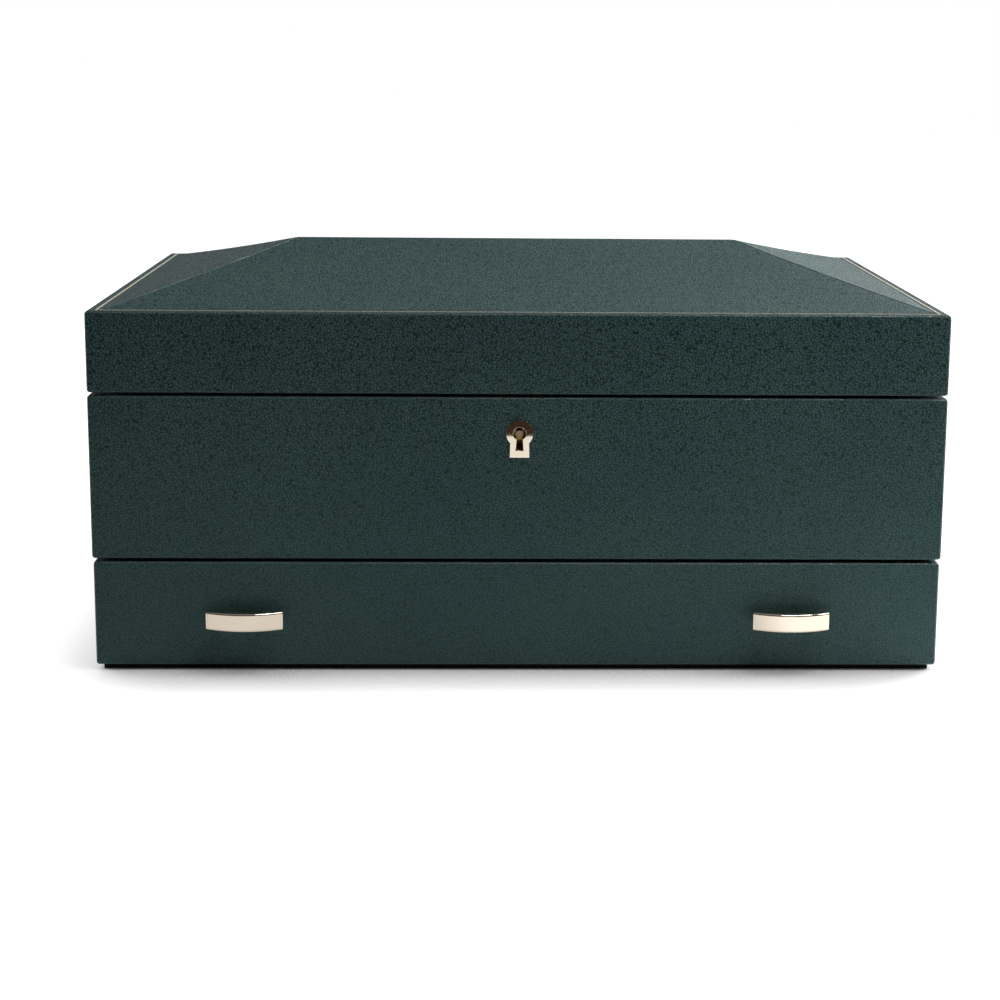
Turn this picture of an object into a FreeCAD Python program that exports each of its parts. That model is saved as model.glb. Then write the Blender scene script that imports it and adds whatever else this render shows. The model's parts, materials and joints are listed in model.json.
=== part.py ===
import FreeCAD, Part
import os
import re
import Sketcher

# Watch box with drawer: a leather-covered case with a hipped lid, a lock and a drawer.
# Millimetres. +X runs to the right, +Y to the back and +Z up. The origin is the middle of
# the underside of the base pad, so the box stands on z = 0 and its front faces -Y.

doc = FreeCAD.newDocument("watch_box")
Vector = FreeCAD.Vector
Rotation = FreeCAD.Rotation

# Slots for watches and rolls for rings are counted, not measured.
COLUMNS = 5
ROWS = 3
RING_ROLLS = 12
# How close two numbers have to be to count as the same place or direction.
NEAR = 0.01

# Driving sizes

driving = [
    ("case_width", 380.0, "outside of the leather, left to right"),
    ("case_depth", 275.0, "outside of the leather, front to back"),
    ("box_height", 183.0, "underside of the base pad to the ridge"),
    ("leather", 1.2, "thickness of the leather cover"),
    ("lining", 1.2, "thickness of the suede lining"),
    ("case_board", 8.0, "side, back and lid boards"),
    ("front_board", 11.0, "front board of case and lid, thick enough for the lock"),
    ("edge_round", 1.4, "rounding of the outer leather corners"),
    ("pad_height", 2.5, "base pad"),
    ("pad_inset", 3.5, "base pad, set in from the leather all round"),
    ("bottom_board", 6.0, "bottom board of the case"),
    ("deck_board", 6.0, "board between the watches and the drawer"),
    ("lid_seam", 1.2, "gap between case and lid"),
    ("lid_side", 35.85, "side of the lid, up to its flat rim"),
    ("lid_board", 6.0, "flange of the roof core on the lid rails"),
    ("roof_height", 21.2, "ridge above the rim"),
    ("ridge_length", 216.0, "ridge of the roof"),
    ("rim_width", 5.5, "flat rim round the roof"),
    ("panel_seam", 0.3, "gap between neighbouring roof panels"),
    ("line_inset", 4.1, "gold line, in from the edge of the lid"),
    ("line_width", 0.9, "gold line"),
    ("line_height", 0.15, "gold line, proud of the leather"),
    ("ceiling_pad", 4.0, "padded panel under the roof core"),
    ("ceiling_gap", 0.6, "padded panel to the lining of the lid"),
    ("divider", 4.0, "covered divider boards"),
    ("divider_drop", 15.0, "tops of the dividers below the rim of the case"),
    ("divider_fit", 0.05, "dividers in their half laps"),
    ("cushion_drop", 9.0, "tops of the cushions below the tops of the dividers"),
    ("cushion_gap", 0.6, "cushion to divider and lining"),
    ("cushion_roundness", 0.342, "rounding along a cushion, as a share of its height"),
    ("cushion_end", 4.0, "rounding of a cushion at its ends"),
    ("drawer_front_height", 47.6, "drawer front with its leather"),
    ("drawer_front_depth", 12.0, "drawer front with its leather"),
    ("drawer_front_inset", 0.5, "drawer front, short of the case at each side"),
    ("drawer_gap", 1.3, "gap between drawer front and band"),
    ("drawer_face_gap", 0.4, "gap between drawer front and case edges"),
    ("drawer_depth", 240.0, "drawer box behind its front"),
    ("drawer_board", 7.0, "sides and back of the drawer"),
    ("drawer_floor", 4.0, "floor of the drawer"),
    ("drawer_side_gap", 1.0, "running gap beside the drawer"),
    ("drawer_side_drop", 4.8, "tops of the drawer sides below the deck"),
    ("drawer_back_drop", 1.4, "top of the drawer back below the deck"),
    ("drawer_travel", 185.0, "how far the drawer comes out"),
    ("drawer_divider", 4.0, "covered divider boards of the drawer"),
    ("drawer_divider_drop", 4.0, "tops of the drawer dividers below the sides"),
    ("drawer_column", 112.0, "clear width of the ring tray and of the middle trays"),
    ("ring_roll_height", 20.0, "ring rolls"),
    ("ring_roll_gap", 0.6, "between ring rolls"),
    ("glide_height", 1.0, "glide strips under the drawer"),
    ("glide_width", 12.0, "glide strips under the drawer"),
    ("glide_inset", 40.0, "middle of a glide strip, in from the side"),
    ("glide_gap", 0.3, "running gap above the glide strips"),
    ("stop_width", 30.0, "stop blocks under the deck"),
    ("stop_depth", 12.0, "stop blocks under the deck"),
    ("stop_inset", 70.0, "middle of a stop block, in from the side"),
    ("stop_clearance", 0.8, "stop blocks above the drawer sides"),
    ("stop_gap", 0.5, "drawer back to stop blocks when the drawer is out"),
    ("pull_width", 34.1, "bar of a drawer pull"),
    ("pull_height", 8.4, "bar of a drawer pull"),
    ("pull_end", 3.0, "thickness of the bar at its ends"),
    ("pull_bow", 4.5, "how much the bar swells in the middle"),
    ("pull_standoff", 5.0, "back of the bar to the leather"),
    ("pull_inset", 68.0, "middle of a pull, in from the side"),
    ("pull_drop", 25.1, "middle of the pulls below the top of the drawer front"),
    ("post_diameter", 5.6, "posts of a pull"),
    ("post_spacing", 20.0, "between the posts of a pull"),
    ("pull_thread", 3.0, "screws of the pulls"),
    ("pull_thread_depth", 7.0, "how far the screws reach into bar and posts"),
    ("pull_hole", 3.4, "screw holes in the drawer front"),
    ("pull_head", 6.0, "heads of the pull screws"),
    ("pull_head_height", 2.0, "heads of the pull screws"),
    ("pull_head_room", 0.5, "counterbore round the heads"),
    ("plate_disc", 11.9, "round part of the keyhole plate"),
    ("plate_height", 16.7, "keyhole plate, top to foot"),
    ("plate_neck", 8.1, "keyhole plate where disc and foot meet"),
    ("plate_foot", 8.7, "foot of the keyhole plate"),
    ("plate_thickness", 1.2, "keyhole plate"),
    ("keyhole_drop", 16.05, "middle of the keyhole below the rim"),
    ("keyhole_disc", 5.7, "round part of the keyhole"),
    ("keyhole_slot", 7.6, "foot of the keyhole below its middle"),
    ("keyhole_waist", 2.2, "keyhole slot at the top"),
    ("keyhole_foot", 3.4, "keyhole slot at the foot"),
    ("drill_pin", 2.6, "pin that the barrel of the key slides on"),
    ("drill_pin_recess", 0.9, "tip of the pin behind the face of the keyhole plate"),
    ("lock_height", 26.0, "lock case, from the rim down"),
    ("lock_depth", 7.0, "lock case"),
    ("lock_wall", 1.0, "lock case and cover"),
    ("lock_room", 0.5, "bolt short of the side wall of the lock case"),
    ("lock_ear", 7.0, "top plate and strike plate, out from the lock case"),
    ("lock_screw_reach", 3.5, "screws of the two plates, out from the lock case"),
    ("prong_spacing", 18.0, "between the prongs of the strike plate"),
    ("prong_width", 1.8, "prong, across the lock"),
    ("prong_depth", 4.2, "prong, through the lock"),
    ("prong_length", 9.3, "prong below the lid"),
    ("prong_web", 1.3, "prong below its eye"),
    ("prong_room", 0.4, "slots round the prongs"),
    ("eye_height", 3.2, "eye of a prong"),
    ("eye_depth", 2.5, "eye of a prong"),
    ("bolt_thickness", 1.8, "bolt plate"),
    ("bolt_bar", 3.5, "bar of the bolt"),
    ("bolt_clearance", 0.45, "bar of the bolt below the prongs"),
    ("bolt_tongue", 2.4, "height of a tongue"),
    ("bolt_slack", 0.5, "posts short of the prongs when locked"),
    ("bolt_post", 2.6, "post that carries a tongue"),
    ("bolt_reach", 0.6, "tongue short of its prong when unlocked"),
    ("bolt_travel", 4.5, "how far the bolt slides"),
    ("bolt_tail", 9.0, "bar to the right of its posts, over the right ledge"),
    ("bolt_ledge", 1.2, "ledges that carry the bolt"),
    ("bolt_ledge_width", 4.0, "ledges that carry the bolt"),
    ("bolt_ledge_spacing", 21.0, "between the ledges, clear of the key"),
    ("bolt_ledge_gap", 0.2, "running gap under the bolt"),
    ("spring_leaf", 0.5, "bolt spring"),
    ("spring_foot", 3.0, "foot of the bolt spring on the bar"),
    ("spring_gap", 0.2, "bolt spring below the top plate"),
    ("spring_room", 0.6, "bolt spring beside prong and post"),
    ("hinge_inset", 70.0, "middle of a hinge, in from the side"),
    ("hinge_width", 38.0, "hinge"),
    ("hinge_leaf", 1.4, "leaf of a hinge"),
    ("hinge_leaf_gap", 0.1, "gap between the closed leaves"),
    ("hinge_reach", 8.0, "leaf over the back wall"),
    ("hinge_room", 0.2, "recess round a leaf"),
    ("knuckle_diameter", 5.0, "knuckles of a hinge"),
    ("knuckle_clearance", 0.3, "knuckles behind the leather"),
    ("knuckle_middle", 12.0, "middle knuckle, which belongs to the lid"),
    ("knuckle_gap", 0.2, "between knuckles, endways"),
    ("hinge_pin", 2.4, "hinge pin"),
    ("hinge_pin_fit", 0.05, "knuckle bores round the pin"),
    ("heel_length", 5.2, "stop heel, out from the pin"),
    ("heel_root", 1.6, "stop heel, where it leaves its knuckle"),
    ("heel_thickness", 1.6, "stop heel"),
    ("heel_angle", 45.0, "heel of the case leaf, below the level"),
    ("lid_opening", 95.0, "how far the lid turns, in degrees"),
    ("heel_slack", 1.0, "turn left between the heels when open, in degrees"),
    ("screw_diameter", 2.0, "small brass screws of lock, strike plate and hinges"),
    ("screw_head", 3.6, "heads of the small screws"),
    ("screw_head_height", 1.0, "countersunk heads of the small screws"),
    ("screw_length", 8.5, "small screws"),
    ("hinge_screw_spacing", 28.0, "outer screws of a leaf"),
]

# Places that follow from the driving sizes

derived = [
    ("side_x", "case_width / 2"),
    ("front_y", "-case_depth / 2"),
    ("back_y", "case_depth / 2"),
    ("board_x", "side_x - leather"),
    ("board_front_y", "front_y + leather"),
    ("board_back_y", "back_y - leather"),
    ("inner_x", "board_x - case_board"),
    ("glide_spacing", "case_width - 2 * glide_inset"),
    ("stop_spacing", "case_width - 2 * stop_inset"),
    ("pull_spacing", "case_width - 2 * pull_inset"),
    ("hinge_spacing", "case_width - 2 * hinge_inset"),
    ("inner_front_y", "board_front_y + front_board"),
    ("inner_back_y", "board_back_y - case_board"),
    ("lined_x", "inner_x - lining"),
    ("lined_front_y", "inner_front_y + lining"),
    ("lined_back_y", "inner_back_y - lining"),
    ("recess_y", "front_y + drawer_front_depth + drawer_face_gap"),
    ("bottom_top_z", "pad_height + bottom_board"),
    ("drawer_front_top_z", "pad_height + drawer_front_height"),
    ("band_low_z", "drawer_front_top_z + drawer_gap"),
    ("band_board_z", "band_low_z + leather"),
    ("deck_top_z", "band_board_z + deck_board"),
    ("floor_z", "deck_top_z + lining"),
    ("case_top_z", "box_height - roof_height - lid_side - lid_seam"),
    ("rim_board_z", "case_top_z - leather"),
    ("divider_top_z", "case_top_z - divider_drop"),
    ("cushion_top_z", "divider_top_z - cushion_drop"),
    ("cushion_roll", "(cushion_top_z - floor_z) * cushion_roundness"),
    ("slot_width", f"(2 * lined_x - {COLUMNS - 1} * divider) / {COLUMNS}"),
    ("slot_depth", f"(lined_back_y - lined_front_y - {ROWS - 1} * divider) / {ROWS}"),
    ("lid_low_z", "case_top_z + lid_seam"),
    ("rail_low_z", "lid_low_z + leather"),
    ("lid_top_z", "lid_low_z + lid_side"),
    ("lid_board_top_z", "lid_top_z - leather"),
    ("rail_top_z", "lid_board_top_z - lid_board"),
    ("roof_x", "side_x - rim_width"),
    ("roof_y", "back_y - rim_width"),
    ("ridge_x", "ridge_length / 2"),
    ("line_x", "side_x - line_inset"),
    ("line_y", "back_y - line_inset"),
    ("hinge_y", "back_y + knuckle_clearance + knuckle_diameter / 2"),
    ("hinge_z", "case_top_z + lid_seam / 2"),
    ("case_leaf_low_z", "hinge_z - hinge_leaf_gap / 2 - hinge_leaf"),
    ("lid_leaf_low_z", "hinge_z + hinge_leaf_gap / 2"),
    ("leaf_front_y", "back_y - hinge_reach"),
    ("leaf_screw_y", "back_y - (hinge_reach + leather) / 2"),
    ("glide_top_z", "bottom_top_z + glide_height"),
    ("drawer_low_z", "glide_top_z + glide_gap"),
    ("drawer_floor_z", "drawer_low_z + drawer_floor"),
    ("drawer_top_z", "band_board_z - drawer_side_drop"),
    ("drawer_back_top_z", "band_board_z - drawer_back_drop"),
    ("drawer_x", "inner_x - drawer_side_gap"),
    ("drawer_in_x", "drawer_x - drawer_board"),
    ("drawer_lined_x", "drawer_in_x - lining"),
    ("drawer_face_y", "front_y + drawer_front_depth"),
    ("drawer_lined_front_y", "drawer_face_y + lining"),
    ("drawer_back_y", "drawer_face_y + drawer_depth"),
    ("drawer_in_back_y", "drawer_back_y - drawer_board"),
    ("drawer_lined_back_y", "drawer_in_back_y - lining"),
    ("drawer_tray_z", "drawer_floor_z + lining"),
    ("drawer_divider_top_z", "drawer_top_z - drawer_divider_drop"),
    ("drawer_mid_y", "(drawer_lined_front_y + drawer_lined_back_y) / 2"),
    ("ring_wall_x", "-drawer_lined_x + drawer_column"),
    ("middle_wall_x", "ring_wall_x + drawer_divider + drawer_column"),
    ("ring_pitch", f"(drawer_lined_back_y - drawer_lined_front_y) / {RING_ROLLS}"),
    ("ring_radius", "(ring_pitch - ring_roll_gap) / 2"),
    ("stop_back_y", "drawer_in_back_y - drawer_travel - stop_gap"),
    ("stop_height", "drawer_side_drop - stop_clearance"),
    ("front_x", "side_x - drawer_front_inset"),
    ("front_board_x", "front_x - leather"),
    ("pull_z", "drawer_front_top_z - pull_drop"),
    ("pull_back_y", "front_y - pull_standoff"),
    ("pull_chord_y", "pull_back_y - pull_end"),
    ("pull_radius", "(pull_width * pull_width / 4 + pull_bow * pull_bow) / (2 * pull_bow)"),
    ("pull_screw_y", "pull_back_y + pull_standoff - pull_thread_depth"),
    ("pull_head_y", "drawer_face_y - pull_head_height"),
    ("keyhole_z", "case_top_z - keyhole_drop"),
    ("plate_low_z", "keyhole_z + plate_disc / 2 - plate_height"),
    ("lock_y", "inner_front_y - lock_depth / 2"),
    ("lock_front_y", "inner_front_y - lock_depth"),
    ("lock_low_z", "case_top_z - lock_height"),
    ("prong_low_z", "lid_low_z - prong_length"),
    ("eye_low_z", "prong_low_z + prong_web"),
    ("tongue_z", "eye_low_z + eye_height / 2"),
    ("bolt_top_z", "prong_low_z - bolt_clearance"),
    ("bolt_low_z", "bolt_top_z - bolt_bar"),
    ("left_tip_x", "-prong_spacing / 2 - prong_width / 2 - bolt_reach"),
    ("right_tip_x", "prong_spacing / 2 - prong_width / 2 - bolt_reach"),
    ("tongue_length", "bolt_travel - bolt_reach + bolt_slack"),
    ("bolt_left_x", "left_tip_x - tongue_length - bolt_post"),
    ("lock_width", "2 * (lock_room + lock_wall - bolt_left_x)"),
    ("lock_plate_width", "lock_width + 2 * lock_ear"),
    ("lock_screw_spacing", "lock_width + 2 * lock_screw_reach"),
    ("spring_left_x", "-prong_spacing / 2 + prong_width / 2 + spring_room"),
    ("spring_right_x", "right_tip_x - tongue_length - bolt_post - spring_room"),
    ("drill_tip_y", "front_y - plate_thickness + drill_pin_recess"),
]

sizes = doc.addObject("Spreadsheet::Sheet", "sizes")
for row, (name, size, meaning) in enumerate(driving, start=1):
    sizes.set(f"A{row}", name)
    sizes.set(f"B{row}", str(size))
    sizes.set(f"C{row}", meaning)
    sizes.setAlias(f"B{row}", name)
places = doc.addObject("Spreadsheet::Sheet", "places")
size_names = {name for name, size, meaning in driving}
place_names = {name for name, formula in derived}


def cells(text):
    """Write each size or place in a formula as the cell that holds it."""
    def cell(found):
        word = found.group(0)
        if word in size_names:
            return "sizes." + word
        if word in place_names:
            return "places." + word
        return word
    return re.sub(r"[a-z][a-z_0-9]*", cell, text)


for row, (name, formula) in enumerate(derived, start=1):
    places.set(f"A{row}", name)
    places.set(f"B{row}", "=" + cells(formula))
    places.setAlias(f"B{row}", name)
doc.recompute()

# Small ways of making a piece

nodes = []
# A part that points along an axis starts along Z and is turned by one of these.
ALONG = {"x": Rotation(Vector(0, 1, 0), 90), "y": Rotation(Vector(1, 0, 0), -90), "z": Rotation()}


def node(piece, label=None):
    """Keep a finished piece: its label names the file that it is written to."""
    piece.Label = label or piece.Name
    nodes.append(piece)
    return piece


def bind(piece, **formulas):
    """Tie properties of a piece to formulas. A double underscore stands for a dot."""
    for name, text in formulas.items():
        piece.setExpression(name.replace("__", "."), cells(text))
    return piece


def block(name, x, y, z):
    """A rectangular piece between a low and a high value along each axis."""
    box = doc.addObject("Part::Box", name)
    bind(box, Length=f"({x[1]}) - ({x[0]})", Width=f"({y[1]}) - ({y[0]})", Height=f"({z[1]}) - ({z[0]})")
    return at(box, x[0], y[0], z[0])


def at(piece, x, y, z):
    """Place a piece by three formulas."""
    return bind(piece, Placement__Base__x=x, Placement__Base__y=y, Placement__Base__z=z)


def rod(name, axis, diameter, length, x, y, z):
    """A round bar of a diameter that starts at a point and runs along an axis."""
    bar = doc.addObject("Part::Cylinder", name)
    bar.Placement = FreeCAD.Placement(Vector(), ALONG[axis])
    bind(bar, Radius=f"({diameter}) / 2", Height=length)
    return at(bar, x, y, z)


def cut(name, base, *tools):
    """A piece less one or more others."""
    result = doc.addObject("Part::Cut", name)
    result.Base = base
    result.Tool = tools[0] if len(tools) == 1 else join(name + "_tools", *tools)
    return result


def join(name, *pieces):
    """Pieces that are one solid on the real object."""
    result = doc.addObject("Part::MultiFuse", name)
    result.Shapes = list(pieces)
    result.Refine = True
    return result


def common(name, first, second):
    """What two shapes share."""
    result = doc.addObject("Part::MultiCommon", name)
    result.Shapes = [first, second]
    return result


def group(name, pieces):
    """Like pieces that stay separate solids in one node."""
    result = doc.addObject("Part::Compound", name)
    result.Links = list(pieces)
    return result


def copy(name, source, x="0", y="0", z="0"):
    """A second piece of the same shape, moved from the first one's own zero."""
    twin = doc.addObject("App::Link", name)
    twin.LinkedObject = source
    return at(twin, x, y, z)


def outline(body, name, plane, corners):
    """A closed outline of straight lines on one of a body's own planes.

    Each corner is a pair of formulas. Every corner is held by its two distances
    from the origin, so the outline follows the sizes.
    """
    sketch = body.newObject("Sketcher::SketchObject", name)
    support = [item for item in body.Origin.OriginFeatures if item.Role == plane][0]
    sketch.AttachmentSupport = (support, [""])
    sketch.MapMode = "FlatFace"
    spots = [(number(u), number(v)) for u, v in corners]
    ring = list(range(len(spots)))
    for here in ring:
        there = (here + 1) % len(ring)
        line = Part.LineSegment(Vector(*spots[here], 0), Vector(*spots[there], 0))
        sketch.addGeometry(line, False)
    for here in ring:
        sketch.addConstraint(Sketcher.Constraint("Coincident", here, 2, (here + 1) % len(ring), 1))
    for here, (u, v) in enumerate(corners):
        for kind, text, value in (("DistanceX", u, spots[here][0]), ("DistanceY", v, spots[here][1])):
            held = sketch.addConstraint(Sketcher.Constraint(kind, -1, 1, here, 1, value))
            sketch.setExpression(f"Constraints[{held}]", cells(text))
    return sketch


def number(text):
    """The present value of a formula, read back from a cell of the sheet."""
    places.set("D1", "=" + cells(text))
    places.recompute()
    return float(places.get("D1"))


def profile(name, plane, corners, length, sides="Symmetric", reverse=False):
    """A body made by padding an outline."""
    body = doc.addObject("PartDesign::Body", name)
    pad = body.newObject("PartDesign::Pad", name + "_pad")
    pad.Profile = outline(body, name + "_outline", plane, corners)
    pad.SideType = sides
    pad.Reversed = reverse
    bind(pad, Length=length)
    body.Tip = pad
    return body


def fillet(body, name, picks, radius):
    """Round the edges of a body that a test picks out."""
    doc.recompute()
    base = body.Tip
    edges = [f"Edge{index}" for index, edge in enumerate(base.Shape.Edges, start=1) if picks(edge)]
    rounding = body.newObject("PartDesign::Fillet", name)
    rounding.Base = (base, edges)
    bind(rounding, Radius=radius)
    body.Tip = rounding
    return body


def runs_along(axis):
    """A test for straight edges along one axis."""
    wanted = {"x": Vector(1, 0, 0), "y": Vector(0, 1, 0), "z": Vector(0, 0, 1)}[axis]

    def test(edge):
        if not isinstance(edge.Curve, Part.Line):
            return False
        return abs(edge.tangentAt(edge.FirstParameter).dot(wanted)) > 1 - NEAR
    return test


# Base and boards of the case

node(block("base_pad",
           ("pad_inset - side_x", "side_x - pad_inset"),
           ("front_y + pad_inset", "back_y - pad_inset"),
           ("0", "pad_height")))
node(block("bottom_board",
           ("-board_x", "board_x"), ("recess_y", "board_back_y"), ("pad_height", "bottom_top_z")))

# The sides run the full depth and are notched in front for the drawer front.
side_profile = [("recess_y", "bottom_top_z"), ("board_back_y", "bottom_top_z"),
                ("board_back_y", "rim_board_z"), ("board_front_y", "rim_board_z"),
                ("board_front_y", "band_board_z"), ("recess_y", "band_board_z")]
for side, start in (("left", "-board_x"), ("right", "inner_x")):
    board = profile(f"case_side_{side}", "YZ_Plane", side_profile, "case_board", sides="One side")
    node(at(board, start, "0", "0"))

node(block("deck_board",
           ("-inner_x", "inner_x"), ("inner_front_y", "inner_back_y"), ("band_board_z", "deck_top_z")))

# Small countersunk screws: one shape, pointing down, with the top of its head at its zero

screw_shank = rod("screw_shank", "z", "screw_diameter", "screw_length", "0", "0", "-screw_length")
screw_cone = doc.addObject("Part::Cone", "screw_cone")
bind(screw_cone, Radius1="screw_diameter / 2", Radius2="screw_head / 2", Height="screw_head_height")
at(screw_cone, "0", "0", "-screw_head_height")
screw_down = join("screw_down", screw_shank, screw_cone)
screw_up = doc.addObject("Part::Mirroring", "screw_up")
screw_up.Source = screw_down
screw_up.Normal = Vector(0, 0, 1)

hinge_xs = {"left": "-hinge_spacing / 2", "right": "hinge_spacing / 2"}
leaf_screw_xs = [f"{x} + {step} * hinge_screw_spacing / 2"
                 for x in hinge_xs.values() for step in (-1, 0, 1)]
lock_screw_xs = ["-lock_screw_spacing / 2", "lock_screw_spacing / 2"]
down = [copy(f"screw_down_{i}", screw_down, x, "leaf_screw_y", "case_leaf_low_z + hinge_leaf")
        for i, x in enumerate(leaf_screw_xs)]
down += [copy(f"lock_screw_{i}", screw_down, x, "lock_y", "case_top_z")
         for i, x in enumerate(lock_screw_xs)]
case_screws = node(group("case_screws", down))
up = [copy(f"screw_up_{i}", screw_up, x, "leaf_screw_y", "lid_leaf_low_z")
      for i, x in enumerate(leaf_screw_xs)]
up += [copy(f"strike_screw_{i}", screw_up, x, "lock_y", "lid_low_z")
       for i, x in enumerate(lock_screw_xs)]
lid_screws = node(group("lid_screws", up))

# Lock


def both(name, make, spacing):
    """Two of one piece, half a spacing to the left and to the right."""
    return [make(f"{name}_{side}", f"{sign} * {spacing} / 2")
            for side, sign in (("left", -1), ("right", 1))]


def keyhole(name, start, length):
    """The opening for the key, as a solid to cut with: a round and a flaring slot."""
    eye = rod(name + "_round", "y", "keyhole_disc", length, "0", start, "keyhole_z")
    slot = profile(name + "_slot", "XZ_Plane",
                   [("-keyhole_foot / 2", "keyhole_z - keyhole_slot"),
                    ("keyhole_foot / 2", "keyhole_z - keyhole_slot"),
                    ("keyhole_waist / 2", "keyhole_z"), ("-keyhole_waist / 2", "keyhole_z")],
                   length, sides="One side", reverse=True)
    return join(name, eye, at(slot, "0", start, "0"))


drill_pin = node(rod("lock_drill_pin", "y", "drill_pin", "inner_front_y - drill_tip_y",
                     "0", "drill_tip_y", "keyhole_z"))
lock_box = block("lock_box", ("-lock_width / 2", "lock_width / 2"),
                 ("lock_front_y", "inner_front_y"), ("lock_low_z", "rim_board_z"))
lock_plate = block("lock_plate", ("-lock_plate_width / 2", "lock_plate_width / 2"),
                   ("lock_front_y", "inner_front_y"), ("rim_board_z", "case_top_z"))
lock_outside = join("lock_outside", lock_box, lock_plate)
lock_hollow = block("lock_hollow",
                    ("lock_wall - lock_width / 2", "lock_width / 2 - lock_wall"),
                    ("lock_front_y + lock_wall", "inner_front_y"),
                    ("lock_low_z + lock_wall", "rim_board_z"))


def prong_slot(name, x):
    """Room in the top plate for a prong to drop through."""
    return block(name, (f"{x} - prong_width / 2 - prong_room", f"{x} + prong_width / 2 + prong_room"),
                 ("lock_y - prong_depth / 2 - prong_room", "lock_y + prong_depth / 2 + prong_room"),
                 ("rim_board_z", "case_top_z"))


def bolt_ledge(name, x):
    """A ledge on the front wall of the lock that the bolt slides on."""
    return block(name, (f"{x} - bolt_ledge_width / 2", f"{x} + bolt_ledge_width / 2"),
                 ("lock_front_y + lock_wall / 2", "lock_y + bolt_thickness / 2"),
                 ("bolt_low_z - bolt_ledge_gap - bolt_ledge", "bolt_low_z - bolt_ledge_gap"))


lock_keyhole = keyhole("lock_keyhole", "lock_front_y", "lock_wall")
lock_shell = cut("lock_shell", lock_outside, lock_hollow, lock_keyhole, case_screws,
                 *both("prong_slot", prong_slot, "prong_spacing"))
bolt_ledges = both("bolt_ledge", bolt_ledge, "bolt_ledge_spacing")
node(join("lock_case_solid", lock_shell, *bolt_ledges), "lock_case")
lock_cover_plate = block("lock_cover_plate",
                         ("lock_wall - lock_width / 2", "lock_width / 2 - lock_wall"),
                         ("inner_front_y - lock_wall", "inner_front_y"),
                         ("lock_low_z + lock_wall", "rim_board_z"))
node(cut("lock_cover", lock_cover_plate, drill_pin))

# The bolt is a plate with two hooks. Its tongues point to the right and slide through the
# eyes of the prongs when the key moves it.
left_root = "left_tip_x - tongue_length"
right_root = "right_tip_x - tongue_length"
tongue_low = "tongue_z - bolt_tongue / 2"
tongue_top = "tongue_z + bolt_tongue / 2"
bolt_profile = [("bolt_left_x", "bolt_low_z"), (right_root + " + bolt_tail", "bolt_low_z"),
                (right_root + " + bolt_tail", "bolt_top_z"), (right_root, "bolt_top_z"),
                (right_root, tongue_low), ("right_tip_x", tongue_low), ("right_tip_x", tongue_top),
                (right_root + " - bolt_post", tongue_top), (right_root + " - bolt_post", "bolt_top_z"),
                (left_root, "bolt_top_z"), (left_root, tongue_low), ("left_tip_x", tongue_low),
                ("left_tip_x", tongue_top), ("bolt_left_x", tongue_top)]
bolt = profile("lock_bolt", "XZ_Plane", bolt_profile, "bolt_thickness")
node(at(bolt, "0", "lock_y", "0"))
spring_top = "rim_board_z - spring_gap"
spring_bend = "spring_left_x + spring_foot"
spring_profile = [("spring_left_x", "bolt_top_z"), (spring_bend, "bolt_top_z"),
                  ("spring_right_x", spring_top + " - spring_leaf"), ("spring_right_x", spring_top),
                  (spring_bend + " - spring_leaf", "bolt_top_z + spring_leaf"),
                  ("spring_left_x", "bolt_top_z + spring_leaf")]
spring = profile("bolt_spring", "XZ_Plane", spring_profile, "bolt_thickness")
node(at(spring, "0", "lock_y", "0"))

# The keyhole plate lies on the leather.
plate_round = rod("plate_round", "y", "plate_disc", "plate_thickness",
                  "0", "front_y - plate_thickness", "keyhole_z")
plate_foot = profile("plate_foot_piece", "XZ_Plane",
                     [("-plate_foot / 2", "plate_low_z"), ("plate_foot / 2", "plate_low_z"),
                      ("plate_neck / 2", "keyhole_z"), ("-plate_neck / 2", "keyhole_z")],
                     "plate_thickness", sides="One side", reverse=True)
at(plate_foot, "0", "front_y - plate_thickness", "0")
node(cut("escutcheon", join("plate_outside", plate_round, plate_foot),
         keyhole("plate_keyhole", "front_y - plate_thickness", "plate_thickness")))

# Front board, back board and leather of the case, cut for the lock and the hinges

front_blank = block("front_blank", ("-inner_x", "inner_x"), ("board_front_y", "inner_front_y"),
                    ("band_board_z", "rim_board_z"))
front_keyhole = keyhole("front_keyhole", "front_y", "front_board")
node(cut("case_front_board", front_blank, lock_box, front_keyhole, case_screws))
back_blank = block("back_blank", ("-inner_x", "inner_x"), ("inner_back_y", "board_back_y"),
                   ("bottom_top_z", "rim_board_z"))
node(cut("case_back", back_blank, case_screws))


def leaf_recess(name, x, low, high):
    """Room for a hinge leaf in the leather."""
    return block(name, (f"{x} - hinge_width / 2 - hinge_room", f"{x} + hinge_width / 2 + hinge_room"),
                 ("leaf_front_y - hinge_room", "back_y"), (low, high))


cover = profile("case_leather_blank", "YZ_Plane",
                [("recess_y", "pad_height"), ("back_y", "pad_height"), ("back_y", "case_top_z"),
                 ("front_y", "case_top_z"), ("front_y", "band_low_z"), ("recess_y", "band_low_z")],
                "case_width")
fillet(cover, "case_leather_round",
       lambda edge: runs_along("z")(edge) and abs(edge.CenterOfMass.y) > number("board_back_y"),
       "edge_round")
cover_hollow = cover.newObject("PartDesign::Pocket", "case_leather_hollow")
cover_hollow.Profile = outline(cover, "case_leather_hollow_outline", "YZ_Plane",
                               [("recess_y", "pad_height"), ("board_back_y", "pad_height"),
                                ("board_back_y", "rim_board_z"), ("board_front_y", "rim_board_z"),
                                ("board_front_y", "band_board_z"), ("recess_y", "band_board_z")])
cover_hollow.SideType = "Symmetric"
bind(cover_hollow, Length="2 * board_x")
cover.Tip = cover_hollow
mouth = block("case_mouth", ("-inner_x", "inner_x"), ("inner_front_y", "inner_back_y"),
              ("rim_board_z", "case_top_z"))
case_recesses = [leaf_recess(f"case_recess_{side}", x, "case_leaf_low_z", "case_top_z")
                 for side, x in hinge_xs.items()]
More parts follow.
